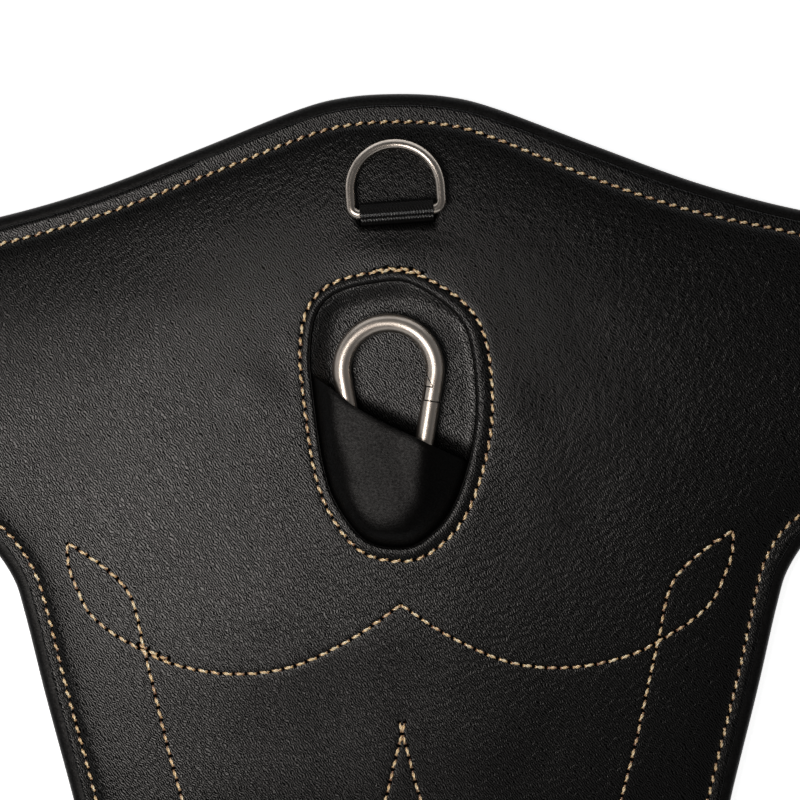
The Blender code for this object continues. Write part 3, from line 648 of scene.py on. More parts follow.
def seam_inset(loop):
    """The edge seam lies further in along the front edge than along the flap, and wanders a little."""
    x = loop[:, 0]
    front = np.clip((loop[:, 1] - BAND_Y + 10) / 40, 0, 1)
    armpit = 1.2 * (1 - front) * bump(x - 124, 6)
    wander = 2.2 - 0.6 * bump(x + 100, 50) + 0.95 * bump(x - 66, 24) - 1.3 * bump(x - 122, 18)
    return 6.2 + armpit + front * wander


EDGE_SEAM = inset(FULL_EDGE, seam_inset(FULL_EDGE))

# the right half of the ornament was sewn a little higher
ORNAMENT_RISE = 0.018


def ornament(points):
    """A seam of the left half and its mirror image."""
    line = through(points, 1.0) + (0, BAND_Y)
    right = line * (-1, 1)
    right[:, 1] += ORNAMENT_RISE * right[:, 0]
    return [line, right]


ORNAMENTS = [*ornament(LEAF_LOW), *ornament(LEAF_HIGH), *ornament(DROP)]

DEE_FRAME = Matrix.Translation((DEE_X, DEE_Y, DEE_Z)) @ Matrix.Rotation(DEE_SPIN, 4, "Z")


def slit_loop():
    """The slit that the dee's tab goes through."""
    corners = [(-12, -3.9), (12, -3.9), (12, 0.3), (-12, 0.3)]
    line = resampled(np.array(corners, float), 0.8, True)
    flat = placed(np.column_stack([line, np.zeros(len(line))]), DEE_FRAME)
    return flat[:, :2]


SLIT = slit_loop()
EDGE_SEAM_AT, WINDOW_SEAM_AT, HOLE_AT = Line(EDGE_SEAM), Line(WINDOW_LINE), Line(HOLE)
ORNAMENTS_AT = Line(*ORNAMENTS, closed=False)

# swellings and, where the height is negative, hollows of the padded leather:
# x, y from BAND_Y, size along and across, turn, height
SWELLINGS = [(-45, -8, 9, 7, 0, 0.55), (-36, -4, 6, 8, 20, -0.35), (44, -30, 22, 9, -50, 0.5),
             (56, -46, 18, 8, -50, -0.45), (38, -8, 14, 10, 60, 0.3), (-70, 10, 26, 18, 10, 0.45),
             (75, 15, 26, 16, -15, 0.4), (0, -88, 26, 12, 0, 0.35), (-30, -115, 20, 16, 0, -0.3),
             (30, -112, 18, 18, 0, 0.25), (-1, 33, 15, 6, 3, 0.9)]


def panel_height(points):
    """Top of the grained leather: a flat border, then padding that swells away from the edge seam."""
    points = np.asarray(points, float)[:, :2]
    seam = EDGE_SEAM_AT.off(points)
    inner = inside(points, EDGE_SEAM)
    s = np.where(inner, seam, 0)
    slope = 0.12 - 0.05 * np.clip(points[:, 0] / 60, -1, 1)
    border = BORDER_TOP + slope * np.minimum(seam, 5)
    padded = BORDER_TOP + 0.9 * (1 - np.exp(-s / 1.7)) + 2.1 * (1 - np.exp(-s / 14))
    z = np.where(inner, padded, border)
    z -= 0.25 * bump(seam, STITCH_DENT)
    puffed = 1 - np.exp(-s / 12)
    z += puffed * (0.30 * waves(points, 48, 3) + 0.08 * waves(points, 17, 8))
    for x, y, a, b, turn, rise in SWELLINGS:
        c, sn = math.cos(math.radians(turn)), math.sin(math.radians(turn))
        px, py = points[:, 0] - x, points[:, 1] - y - BAND_Y
        z += rise * puffed * np.exp(-((px * c + py * sn) / a) ** 2 - ((py * c - px * sn) / b) ** 2)
    z -= 0.14 * bump(ORNAMENTS_AT.off(points), STITCH_DENT)
    w, h = WINDOW_SEAM_AT.off(points), HOLE_AT.off(points)
    z += np.where(inside(points, WINDOW_LINE), 0.17 * np.minimum(w, 3), 0)
    return z - 0.28 * bump(w, STITCH_DENT) - 0.12 * bump(h, 0.4)


def cap_height(points):
    """Top of the leather caps, dented by their seams and rounded off at the edge."""
    points = np.asarray(points, float)[:, :2]
    q = Line(*CAP_SEAMS, closed=False).off(points)
    e = Line(CAP_EDGE).off(points)
    return 7.6 - 0.45 * bump(q, 0.8) - 0.45 * np.exp(-e / 0.5) + 0.05 * waves(points, 9, 5)


def cap_top(side):
    """cap_height of the right cap, side 1, or of the left one, side -1."""
    return lambda points: cap_height(np.asarray(points)[:, :2] * (side, 1))


# ---- leather pieces ------------------------------------------------------------------
def sheet_object(name, verts, faces, material, replaces=(), weld=0.0):
    """A leather sheet on the girth with its face side up."""
    sheet = outwards(new_object(name, verts, faces, material, "girth", replaces), weld)
    if sum(p.normal.z * p.area for p in sheet.data.polygons) < 0:
        sheet.data.flip_normals()
    return sheet


def make_panel():
    seams = [(EDGE_SEAM, True), (WINDOW_LINE, True), *((o, False) for o in ORNAMENTS)]
    near = (-4.4, -3.2, -2.2, -1.3, -0.6, 0, 0.6, 1.3, 2.2, 3.2, 4.4)
    verts, faces = sheet_mesh([PANEL_EDGE, HOLE, SLIT], seams, 2.4, panel_height, near)
    tucked = [(0, 0), (-0.12, -0.15), (-0.2, -0.5), (-0.1, -1.6)]
    turned = [(0, 0), (0.4, -0.12), (0.72, -0.42), (0.9, -0.95), (0.85, -2.0), (0.6, -3.2)]
    cut = [(0, 0), (0.15, -0.2), (0.2, -2.0)]
    for loop, section in ((PANEL_EDGE, tucked), (HOLE, turned), (SLIT, cut)):
        verts, faces = add_walls(verts, faces, loop, panel_height, section)
    panel = sheet_object("panel_leather", verts, faces, GRAIN,
                         ["outer_panel", "padding_core", "load_web"], weld=0.002)


def make_window():
    def height(points):
        """The floor sinks inside the window seam, sooner on the right."""
        width = 4.5 - 2.4 * np.clip(np.asarray(points)[:, 0] / 18, 0, 1)
        hollow = 1 - bump(np.maximum(WINDOW_SEAM_AT.off(points) - 2.5, 0), width)
        return FLOOR_TOP - 0.12 - 2.1 * hollow + 0.14 * waves(points, 14, 2)

    verts, faces = sheet_mesh([window_loop(0.6, 1.6)], [], 1.8, height)
    sheet_object("window_floor_leather", verts, faces, FLOOR_GRAIN, ["window_floor"])
    rim = rim_loop(0.75)
    path = np.column_stack([rim, np.full(len(rim), 7.9)])
    verts, faces, uv = sweep(path, (0.5, 1.3), 12, closed=True)
    outwards(new_object("window_piping", verts, faces, SMOOTH, "girth", uv=uv))


MOUTH = [(-27.6, -4.2), (-24.5, -6.2), (-20, -9.4), (-13.9, -14.2), (-4, -19.8), (4.9, -24.0), (10, -26.6),
         (18.9, -30.8), (23.6, -33.2), (26, -34.5)]


def pocket_border():
    """The window's outline below the pocket's mouth, closed along the mouth, and the mouth by itself."""
    mouth = through(MOUTH, 0.8) + (0, BAND_Y)
    loop = window_loop(0.9, 0.9)
    cut = [i for i, p in enumerate(loop) if p[1] < np.interp(p[0], mouth[:, 0], mouth[:, 1]) - 0.3]
    start = next(i for i in cut if (i - 1) % len(loop) not in cut)
    kept = [loop[(start + k) % len(loop)] for k in range(len(cut))]
    inner = mouth[inside(mouth, loop)]
    if np.linalg.norm(kept[-1] - inner[0]) > np.linalg.norm(kept[-1] - inner[-1]):
        inner = inner[::-1]
    return np.vstack([kept, inner]), inner


def make_pocket():
    border, mouth = pocket_border()
    mouth_line = Line(mouth, closed=False)

    def height(points):
        """Rises from the window's edge over the hook, steeply at the foot and gently on the right."""
        points = np.asarray(points)[:, :2]
        depth = np.where(inside(points, HOLE), HOLE_AT.off(points), 0)
        x, y = points[:, 0], points[:, 1] - BAND_Y
        ramp = 15.5 + 6.0 * np.clip((x + 2) / 20, -1, 1) - 6.0 * np.clip((-y - 38) / 16, 0, 1)
        rise = 1 - (1 - np.clip((depth - 0.4) / ramp, 0, 1)) ** 2.8
        crown = 8.6 - 0.10 * np.hypot(x - 7, 2.5) + 0.035 * (y + 35)
        z = 7.1 + crown * rise
        m = mouth_line.off(points)
        z -= 0.4 * rise * bump(x - 1.5, 6) * np.exp(-m / 12)
        z += 0.3 * rise * waves(points, 12, 4)
        return z - 0.3 * np.exp(-m / 0.7)

    verts, faces = sheet_mesh([border], [], 0.9, height)
    pocket = sheet_object("pocket_leather", verts, faces, SMOOTH, ["hook_pocket"])
    solid = pocket.modifiers.new("thick", "SOLIDIFY")
    solid.thickness, solid.offset = 1.1 * MM, -1
    crisp(pocket, 0.25, 50)


# the rolled edge from under the lining, round the outside and under the panel: inwards, height
ROLL = [(4.9, 0.02), (3.4, 0.0), (2.2, 0.12), (1.2, 0.5), (0.5, 1.2), (0.12, 2.1), (0, 3.1), (0.15, 4.1),
        (0.5, 4.85), (1.1, 5.35), (1.9, 5.62), (2.8, 5.72), (3.7, 5.74), (4.0, 5.7), (4.1, 5.2), (4.1, 2.0)]


def make_lining():
    """Smooth back and the rolled edge round the whole girth."""
    start, ground = ROLL[0]

    def back(points):
        return 0.55 * bump(EDGE_SEAM_AT.off(points), 0.9) + ground

    edge = inset(ROUND_EDGE, start)
    verts, faces = sheet_mesh([edge], [(EDGE_SEAM, True)], 4.5, back, (-1.4, -0.6, 0, 0.6, 1.4))
    verts[: len(edge), 2] = ground
    wobble = 1 + 0.05 * waves(ROUND_EDGE, 13, 1)
    rings = [np.column_stack([inset(ROUND_EDGE, inwards), z * wobble]) for inwards, z in ROLL]
    faces += grid_faces(len(rings), len(ROUND_EDGE), wrap_columns=True, first=len(verts))
    lining = new_object("lining_leather", np.vstack([verts, *rings]), faces, ROLLED, None)
    drop_end_roll(lining)
    settle(lining, "girth", ["lining_shell"])
    outwards(lining, 0.01)
    if sum(p.normal.z * p.area for p in lining.data.polygons if abs(p.center.z) < 0.7 * MM) > 0:
        lining.data.flip_normals()
    # inner tray seen between the panel and the caps
    tray = inset(ROUND_EDGE, 3.6)
    verts, faces = sheet_mesh([tray], [], 9, lambda p: np.full(len(p), 1.5))
    sheet_object("lining_inside", verts, faces, SMOOTH)


def drop_end_roll(obj):
    """The roll stops at both ends, where the straps leave."""
    half = BAND_HALF - ROLL_WIDTH - 0.2
    shape = bmesh.new()
    shape.from_mesh(obj.data)
    gone = [v for v in shape.verts if abs(v.co.x) > CAP_START_X * MM and v.co.z > 1.6 * MM
            and abs(v.co.y / MM - BAND_Y) < half]
    bmesh.ops.delete(shape, geom=gone, context="VERTS")
    shape.to_mesh(obj.data)
    shape.free()


def make_caps():
    rounded = [(0, 0), (-0.18, -0.25), (-0.2, -1.15), (0.3, -1.2)]
    for where, side in (("left", -1), ("right", 1)):
        loop = CAP_EDGE if side > 0 else (CAP_EDGE * (-1, 1))[::-1]
        seams = [(line * (side, 1), False) for line in CAP_SEAMS]
        verts, faces = sheet_mesh([loop], seams, 2.5, cap_top(side), (-0.7, 0, 0.7))
        verts, faces = add_walls(verts, faces, loop, cap_top(side), rounded)
        sheet_object(f"cap_leather_{where}", verts, faces, SMOOTH, [f"end_cap_{where}"],
                     weld=0.002)


# ---- stitches ------------------------------------------------------------------------
def stitch_row(line, height, pitch=3.85, closed=False, length=2.75, slant=10, lift=0.12, flip=1.0, seed=0):
    """Middle, direction, surface normal and length of each stitch on a line."""
    pts = resampled(line, pitch, closed)
    ends = np.roll(pts, -1, 0) if closed else pts[1:]
    pts = pts if closed else pts[:-1]
    rng = np.random.default_rng(seed)
    middle = (pts + ends) / 2
    along = unit(ends - pts)
    turn = np.radians(slant + rng.normal(0, 3, len(middle)))
    c, s = np.cos(turn), np.sin(turn)
    along = np.stack([along[:, 0] * c - along[:, 1] * s, along[:, 0] * s + along[:, 1] * c], 1)
    reach = length * rng.uniform(0.95, 1.06, len(middle))
    across = to_the_left(along)

    def steepness(way, step, limit):
        rise = (height(middle + way * step) - height(middle - way * step)) / (2 * step)
        return np.clip(rise, -limit, limit)

    t = unit(np.column_stack([along, steepness(along, 0.9, 0.5)]))
    n = unit(np.cross(t, np.column_stack([across, steepness(across, 1.6, 0.4)])))
    n *= np.sign(n[:, 2])[:, None] * flip
    base = np.column_stack([middle, height(middle)]) + n * lift
    return base, t, n, reach


def level(height):
    """A height function for stitches on a flat piece."""
    return lambda points: np.full(len(points), height)


def all_stitches(rows):
    """Middle, direction, normal, the way across and length of every stitch of the rows."""
    base, t, n, reach = (np.concatenate(x) for x in zip(*rows))
    return base, t, n, np.cross(n, t), reach


def make_thread(name, rows, radius=0.28, material=None):
    """Two twisted plies for every stitch of the rows, thinner and sunk in at both ends."""
    base, t, n, w, reach = all_stitches(rows)
    rings, sides = 9, 6
    a = np.linspace(0, 1, rings)
    from_middle = np.abs(2 * a - 1)
    lift = 0.30 * (1 - (2 * a - 1) ** 4) - 0.75 * from_middle ** 5
    r = radius * (1 - 0.45 * from_middle ** 4)
    g = math.tau * np.arange(sides) / sides
    ring = (n[:, None, None] * (np.cos(g)[None, None, :, None]) + w[:, None, None]
            * (np.sin(g)[None, None, :, None]))
    verts = []
    for ply in (0, 1):
        twist = math.tau * (1.05 * a + 0.05) + math.pi * ply
        centre = (base[:, None] + t[:, None] * ((a - 0.5)[None, :] * reach[:, None])[..., None]
                  + n[:, None] * (lift + 0.2 * np.sin(twist))[None, :, None]
                  + w[:, None] * (0.24 * np.cos(twist))[None, :, None])
        verts.append((centre[:, :, None] + ring * r[None, :, None, None]).reshape(-1, 3))
    count = len(base) * 2
    one = np.array(grid_faces(rings, sides, wrap_columns=True))
    faces = (one[None] + (np.arange(count) * rings * sides)[:, None, None]).reshape(-1, 4)
    uv = np.tile(tube_uv(a, sides), (count, 1))
    outwards(new_object(name, np.vstack(verts), faces.tolist(), material or THREAD, uv=uv))


def make_holes(name, rows):
    """A disc of painted shade for the needle hole under both ends of every stitch."""
    base, t, n, w, reach = all_stitches(rows)
    sides = 10
    along, across = 0.72, 1.08
    a = math.tau * np.arange(sides) / sides
    verts, faces = [], []
    for end in (-1, 1):
        centre = base + t * (end * 0.5 * (reach + 0.3))[:, None] - n * 0.06 + w * (0.15 * end)
        rim = centre[:, None] + t[:, None] * (along * np.cos(a))[None, :, None]
        rim = rim + w[:, None] * (across * np.sin(a))[None, :, None] - n[:, None] * 0.05
        verts.append(np.concatenate([rim, (centre + n * 0.02)[:, None]], 1).reshape(-1, 3))
    for k in range(len(base) * 2):
        first = k * (sides + 1)
        faces += [(first + i, first + (i + 1) % sides, first + sides) for i in range(sides)]
    outwards(new_object(name, np.vstack(verts), faces, HOLE_SHADE))


def make_seams():
    def edge_height(points):
        """The edge seam runs over the panel in the middle and over the caps at the ends."""
        points = np.asarray(points)
        z = panel_height(points)
        z[np.abs(points[:, 0]) > CAP_START_X - 1.5] = 7.25
        return z

    rows = [stitch_row(EDGE_SEAM, edge_height, 3.8, True, length=3.05, slant=14, lift=0.2, seed=1),
            stitch_row(WINDOW_LINE, panel_height, 3.9, True, length=3.35, slant=11, lift=0.2, seed=2)]
    # the window's row ends in a few stitches sewn twice
    x, y = WINDOW_LINE[:, 0], WINDOW_LINE[:, 1]
    again = WINDOW_LINE[(y > BAND_Y + 25.2) & (x > -9) & (x < 7.5)][::-1] + (0.9, 0.55)
    rows.append(stitch_row(again, panel_height, 3.7, length=3.3, slant=174, lift=0.34, seed=3))
    for k, (line, slant) in enumerate(zip(ORNAMENTS, (-5, 5, 6, -6, 0, 0))):
        rows.append(stitch_row(line, panel_height, 3.9, length=3.45, slant=slant, lift=0.16, seed=10 + k))
    knot = through([(-82.4, -88.2), (-78, -91.2), (-73, -93.4)], 1.0) + (0, BAND_Y) + (0.3, 0.5)
    rows.append(stitch_row(knot, panel_height, 3.6, length=3.2, slant=6, lift=0.4, seed=31))
    make_thread("seam_thread", rows)
    make_holes("seam_needle_holes", rows)
    cap_rows = []
    for side in (-1, 1):
        line = CAP_SEAMS[0] * (side, 1)
        cap_rows.append(stitch_row(line, cap_top(side), 3.9, length=3.1, slant=10, lift=0.2, seed=50 + side))
    make_thread("cap_thread", cap_rows)
    make_holes("cap_needle_holes", cap_rows)
    under = stitch_row(EDGE_SEAM, level(0.62), 3.8, True, length=3.1, slant=12, lift=0.05, flip=-1, seed=70)
    make_thread("back_thread", [under])


# ---- snap hook -----------------------------------------------------------------------
# bend radii of the head and the eye's corners, half the eye's flat, eye to head, wire radius
HEAD, EYE, EYE_FLAT, HOOK_LENGTH, WIRE = 14.6, 4.5, 4.0, 37.0, 2.95
# places along the gate from its foot, and the barb's rise over the shoulder and height
PIN_ALONG, SHOULDER, BARB_RISE, BARB_HEIGHT = 7.0, 28.3, 4.0, 3.8
# width of the saw cuts, radii of the fork's round and of the pin's hole
SAW, FORK, BORE = 0.38, 3.0, 1.1
TAPER = math.asin((HEAD - EYE) / math.hypot(EYE_FLAT, HOOK_LENGTH)) - math.atan2(EYE_FLAT, HOOK_LENGTH)
FOOT = np.array([EYE_FLAT + EYE * math.cos(TAPER), EYE * (1 - math.sin(TAPER))])
UP_GATE = np.array([math.sin(TAPER), math.cos(TAPER)])
OUT_GATE = np.array([UP_GATE[1], -UP_GATE[0]])
HOOK_PLACE = Matrix.Translation((SNAP_X, SNAP_Y, SNAP_Z))


def on_gate(along, across=0.0):
    """A point along the gate's wire and outwards from it."""
    return FOOT + UP_GATE * along + OUT_GATE * across


def hook_object(name, verts, faces, uv=None, material=None):
    return new_object(name, placed(verts, HOOK_PLACE), faces, material or STEEL, None, uv=uv)


def plate(outline, half, material=None):
    """A flat cutter over the gate, as thick as twice half."""
    flat = np.array([on_gate(*p) for p in outline])
    n = len(flat)
    verts = np.vstack([np.column_stack([flat, np.full(n, z)]) for z in (-half, half)])
    return outwards(hook_object("cutter", verts, tube_faces(2, n), material=material or SAWN))


def rod(start, end, radius, sides=32):
    path = [(*on_gate(a), 0) for a in np.linspace(start, end, 9)]
    verts, faces, uv = sweep(path, (radius, radius), sides)
    return outwards(hook_object("cutter", verts, faces, uv))


def bore():
    """The pin's hole."""
    x, y = on_gate(PIN_ALONG)
    verts, faces = sweep([(x, y, -4), (x, y, 4)], (BORE, BORE), 24, up=(0, 1, 0))[:2]
    return outwards(hook_object("cutter", verts, faces, material=SAWN))


def nose(start, gap):
    """The gate's nose seen from above: a strip up the wire's inner side and a barb that hooks outwards."""
    ledge, top, inner = SHOULDER + BARB_RISE + gap, SHOULDER + BARB_RISE + BARB_HEIGHT - gap, -WIRE - 1.0
    return [(start, inner), (start, -2.05 - gap), (ledge, -2.05 - gap), (ledge, -0.15 - gap),
            (ledge + 0.5, -0.1 - gap), (top, -2.45 - gap), (top + 0.5, inner)]


def make_hook():
    t = math.degrees(TAPER)
    line = np.vstack([arc((EYE_FLAT, EYE), EYE, -t, -90, 10), arc((-EYE_FLAT, EYE), EYE, -90, -180 + t, 10),
                      arc((0, EYE + HOOK_LENGTH), HEAD, 180 + t, -t, 64)])
    path = np.column_stack([line, np.zeros(len(line))])
    verts, faces, uv = sweep(path, (WIRE, WIRE), 32, closed=True)
    body = outwards(hook_object("hook_body", verts, faces, uv))
    far, through_all = WIRE + 2, 6
    foot, notch = PIN_ALONG - FORK - 0.4, SHOULDER + BARB_RISE
    slot = [(SHOULDER - 1, -far), (SHOULDER - 1, 1), (notch + 0.5, 1), (notch + 0.5, -far)]
    cut_with(body, plate([(foot, -far), (foot, far), (SHOULDER, far), (SHOULDER, -far)], through_all))
    cut_with(body, plate(slot, 1.1))
    cut_with(body, plate(nose(SHOULDER - 1, 0.0), through_all))
    half_turn = np.radians(np.arange(0, 181, 15))
    eyelet = [(PIN_ALONG + 2.1 * math.sin(a), 2.1 * math.cos(a)) for a in half_turn]
    cut_with(body, plate([(foot - 1.5, -2.1), (foot - 1.5, 2.1), *eyelet], 1.0, STEEL), "UNION")
    cut_with(body, bore())
    settle(crisp(body, 0.05), "snap_hook", ["snap_body"])
    make_gate(half_turn, notch, through_all)
    make_hook_pin()
    for name in ("gate_plunger", "gate_spring"):
        paint(name, STEEL)


def make_gate(half_turn, notch, through_all):
    """The gate: forked round the pin, with a tongue that carries the barbed tip."""
    gate = rod(PIN_ALONG - 4, SHOULDER - SAW, WIRE)
    gate.name = "hook_gate"
    rounded = [(PIN_ALONG - FORK * math.sin(a), FORK * math.cos(a)) for a in half_turn]
    fork_end = PIN_ALONG + 3.4
    tongue = [(SHOULDER - 2, -2.5), (SHOULDER - 2, 0.6), (notch + 0.6, -0.5), (notch + 0.6, -2.5)]
    cut_with(gate, plate([(SHOULDER + 1, -FORK), (SHOULDER + 1, FORK), *rounded], through_all), "INTERSECT")
    cut_with(gate, plate([(0, -5), (0, 5), (fork_end, 5), (fork_end, -5)], 1.25))
    cut_with(gate, plate(tongue, 0.9), "UNION")
    tip = rod(SHOULDER - 0.8, notch + 9, WIRE)
    cut_with(tip, plate(nose(SHOULDER - 1, SAW), through_all), "INTERSECT")
    cut_with(gate, tip, "UNION")
    cut_with(gate, bore())
    cut_with(gate, rod(PIN_ALONG + 1, PIN_ALONG + 13, 1.3, 16))
    settle(crisp(gate, 0.05), "gate", ["snap_gate"])


def make_hook_pin():
    """A pin with rounded heads: radius and height of its profile."""
    end = [(1.02, 2.5), (1.0, 2.75), (0.75, 2.95), (0.02, 2.98)]
    profile = [(r, -z) for r, z in end[::-1]] + end
    x, y = on_gate(PIN_ALONG)
    rings = [[(x + r * math.cos(a), y + r * math.sin(a), z) for a in np.linspace(0, math.tau, 24, False)]
             for r, z in profile]
    verts = np.array(rings).reshape(-1, 3)
    pin = outwards(hook_object("hook_pin", verts, grid_faces(len(rings), 24, wrap_columns=True)))
    settle(crisp(pin, 0.04), "snap_hook", ["gate_pin"])


def paint(name, material):
    """A CAD node keeps its shape and gets a detailed material."""
    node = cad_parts[name]
    node.data.materials.clear()
    node.data.materials.append(material)


def make_hook_strap():
    """Elastic tape: in over the tail, round the eye and back under it."""
    thick, tail = 1.2, 58.0
    loop = WIRE + 0.3 + thick / 2
    low = 3.4 + thick / 2
    high = low + thick + 0.3
    upper = through([(-9.6, high), (-7.2, high + 0.8), (-5.2, SNAP_Z - 1.2)], 0.5)
    lower = through([(-4.4, low + 0.5), (-7.0, low)], 0.5)
    run_in = np.column_stack([np.linspace(-tail, -9.6, 30)[:-1], np.full(29, high)])
    run_out = np.column_stack([np.linspace(-7.0, -tail, 30)[1:], np.full(29, low)])
    path = np.vstack([run_in, upper, arc((0, SNAP_Z), loop, 172, -112, 36), lower, run_out])
    verts, faces, uv = ribbon(path, 7.6, thick, lambda u, v, w: (SNAP_X + w, SNAP_Y + u, v))
    strap = outwards(new_object("hook_strap_tape", verts, faces, ELASTIC, None, uv=uv))
    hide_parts("hook_strap")
    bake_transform(strap)


# ---- dee -----------------------------------------------------------------------------
def make_dee():
    corner, half, side, wire = 2.6, 14.1, 7.1, 1.6
    line = np.vstack([arc((corner - half, corner), corner, -90, -180, 8), arc((0, side), half, 180, 0, 56),
                      arc((half - corner, corner), corner, 0, -90, 8)])
    path = np.column_stack([line, np.zeros(len(line))])
    verts, faces, uv = sweep(path, (wire, wire), 24, closed=True)
    verts = placed(verts, DEE_FRAME @ Matrix.Rotation(DEE_DROOP, 4, "X"))
    outwards(new_object("dee_steel", verts, faces, BRIGHT_STEEL, "dee", ["dee_ring"], uv))
    make_dee_tab(wire)


def make_dee_tab(wire):
    """Folded tape round the dee's straight side, its ends down through the slit, with two raised ribs."""
    thick = 1.4
    loop = wire + 0.3 + thick / 2
    outer = through([(-16.5, -6.5), (-8, -6.5), (-4.4, -6.4), (-2.9, -5.1), (-2.6, -2.4)], 0.6)
    inner = through([(-0.85, -4.0), (-1.5, -6.2), (-3.8, -7.8), (-7.2, -8.1), (-16.5, -8.1)], 0.6)
    path = np.vstack([outer, arc((0, 0), loop, 180, -106, 40), inner])
    verts, faces, uv = ribbon(path, 23.0, thick, lambda u, v, w: (w, u, v), 0.35)
    verts = placed(verts, DEE_FRAME)
    outwards(new_object("dee_tape", verts, faces, TAPE, "girth", ["dee_tab"], uv))
    rows = []
    for seed, v in ((41, -0.75), (42, -2.15)):
        top = math.sqrt((loop + thick / 2) ** 2 - v * v)
        line = placed([(-11.3, v, top), (11.3, v, top)], DEE_FRAME)
        rows.append(stitch_row(line[:, :2], level(line[0, 2]), 0.92, length=1.25, slant=-58, lift=0.0,
                               seed=seed))
    make_thread("dee_tape_ribs", rows, radius=0.17, material=RIB)


# ---- straps and buckles --------------------------------------------------------------
# the frame's heel bar, its depth from there to the roller, its height, its wire radius and the play on it
HEEL_X, REACH, BUCKLE_Z = 272.0, 24.0, 4.3
BAR, PLAY = 1.8, 0.25
STRAP_OFFSET = 19.0
CAP_CORNER, CAP_TRIM = 9.0, 2


def cap_outline():
    half = BAND_HALF - 3.45
    inner, outer = CAP_START_X + CAP_TRIM, CAP_END_X - CAP_CORNER
    loop = np.vstack([arc((outer, BAND_Y + half - CAP_CORNER), CAP_CORNER, 0, 90, 8),
                      arc((inner, BAND_Y + half - CAP_TRIM), CAP_TRIM, 90, 180, 3),
                      arc((inner, BAND_Y - half + CAP_TRIM), CAP_TRIM, 180, 270, 3),
                      arc((outer, BAND_Y - half + CAP_CORNER), CAP_CORNER, 270, 360, 8)])
    return resampled(loop, 1.5, True)


CAP_EDGE = cap_outline()
CAP_SEAMS = [through([(208.2, BAND_Y - 28), (208.2, BAND_Y + 28)], 2.0),
             EDGE_SEAM[EDGE_SEAM[:, 0] > CAP_START_X - 1.0]]


def make_straps():
    for side_name, side in (("left", -1), ("right", 1)):
        for row_name, row in (("front", 1), ("rear", -1)):
            make_strap(f"{side_name}_{row_name}", side, BAND_Y + row * STRAP_OFFSET)


def make_strap(where, side, y):
    """A strap and its buckle, whose parts at() places: away from the girth, up and across."""
    def at(u, v, w):
        return (side * HEEL_X + side * u, y + w, BUCKLE_Z + v)

    make_elastic(where, at)
    make_chape(where, at, side, y)
    make_frame(where, at)
    make_tongue(where, at)
    make_roller(where, at)


def make_elastic(where, at):
    """Elastic with woven ribs in its cross-section."""
    start, end = 209.0 - HEEL_X, 262.0 - HEEL_X
    rows = 14
    w = np.linspace(-12.5, 12.5, 100)
    edge = 1 - np.clip((np.abs(w) - 11.9) / 0.6, 0, 1) ** 2 * 0.6
    top = (0.86 + 0.13 * np.cos(math.tau * w / 1.3)) * edge
    section = [*zip(w, top), *zip(w[::-1], -top[::-1])]
    verts = [at(u, v, q) for u in np.linspace(start, end, rows) for q, v in section]
    uv = [(u, q) for u in np.linspace(0, end - start, rows) for q, v in section]
    outwards(new_object(f"elastic_tape_{where}", verts, tube_faces(rows, len(section)), ELASTIC, "girth",
                        [f"elastic_{where}"], uv))


def make_chape(where, at, side, y):
    """Leather folded round the heel bar, with an opening for the tongue and a stitched border."""
    layer, thick = 2.05, 1.5
    wrap = BAR + PLAY + thick / 2
    first = 247.0 - HEEL_X
    upper = np.array([(x, layer) for x in np.linspace(first, -7.5, 12)] + [(-4.5, layer + 0.35)])
    lower = upper[::-1] * (1, -1)
    path = np.vstack([upper, arc((0, 0), wrap, 105, -105, 24), lower])
    verts, faces, uv = ribbon(path, 25.0, thick, at, 0.4)
    chape = outwards(new_object(f"chape_leather_{where}", verts, faces, SMOOTH, None, uv=uv))
    heel = side * HEEL_X
    low, high = sorted((heel - side * 9.2, heel + side * 9))
    corners = [(low, y - 2.6), (high, y - 2.6), (high, y + 2.6), (low, y + 2.6)]
    box = [(*corner, z) for z in (-5, 15) for corner in corners]
    cut_with(chape, outwards(new_object("cutter", box, tube_faces(2, len(corners)), SMOOTH, None)))
    chape.data.shade_smooth()
    chape.data.set_sharp_from_angle(angle=math.radians(40))
    settle(chape, "girth", [f"chape_{where}"])

    top = level(BUCKLE_Z + layer + thick / 2)
    seam, gap = 10.2, 4.4
    start, end = heel + side * np.array([first + 2.2, -5.2])
    last = end - side * 0.3
    lines = [((start, y - seam), (end, y - seam), 90), ((start, y + seam), (end, y + seam), 90),
             ((start, y - seam), (start, y + seam), 91), ((last, y - seam), (last, y - gap), 91),
             ((last, y + gap), (last, y + seam), 91)]
    rows = [stitch_row(np.array([a, b]), top, 3.9, length=2.7, slant=8, lift=0.0, seed=seed)
            for a, b, seed in lines]
    make_thread(f"chape_thread_{where}", rows)


def make_frame(where, at):
    """Bent wire frame, a little thinner at the heel bar and under the roller."""
    half, corner = 15.8, 3.0
    loop = np.vstack([arc((corner, half - corner), corner, 180, 90, 8),
                      arc((REACH - corner, half - corner), corner, 90, 0, 8),
                      arc((REACH - corner, corner - half), corner, 0, -90, 8),
                      arc((corner, corner - half), corner, -90, -180, 8)])
    loop = resampled(loop, 1.0, True)
    wire = np.interp(loop[:, 0], [0, 1.5, REACH - 2, REACH - 0.2], [BAR, 2.0, 2.0, 1.5])
    verts, faces, uv = sweep([at(u, 0, q) for u, q in loop], np.stack([wire, wire], 1), 20, closed=True)
    outwards(new_object(f"buckle_steel_{where}", verts, faces, STEEL, f"frame_{where}",
                        [f"buckle_frame_{where}"], uv))


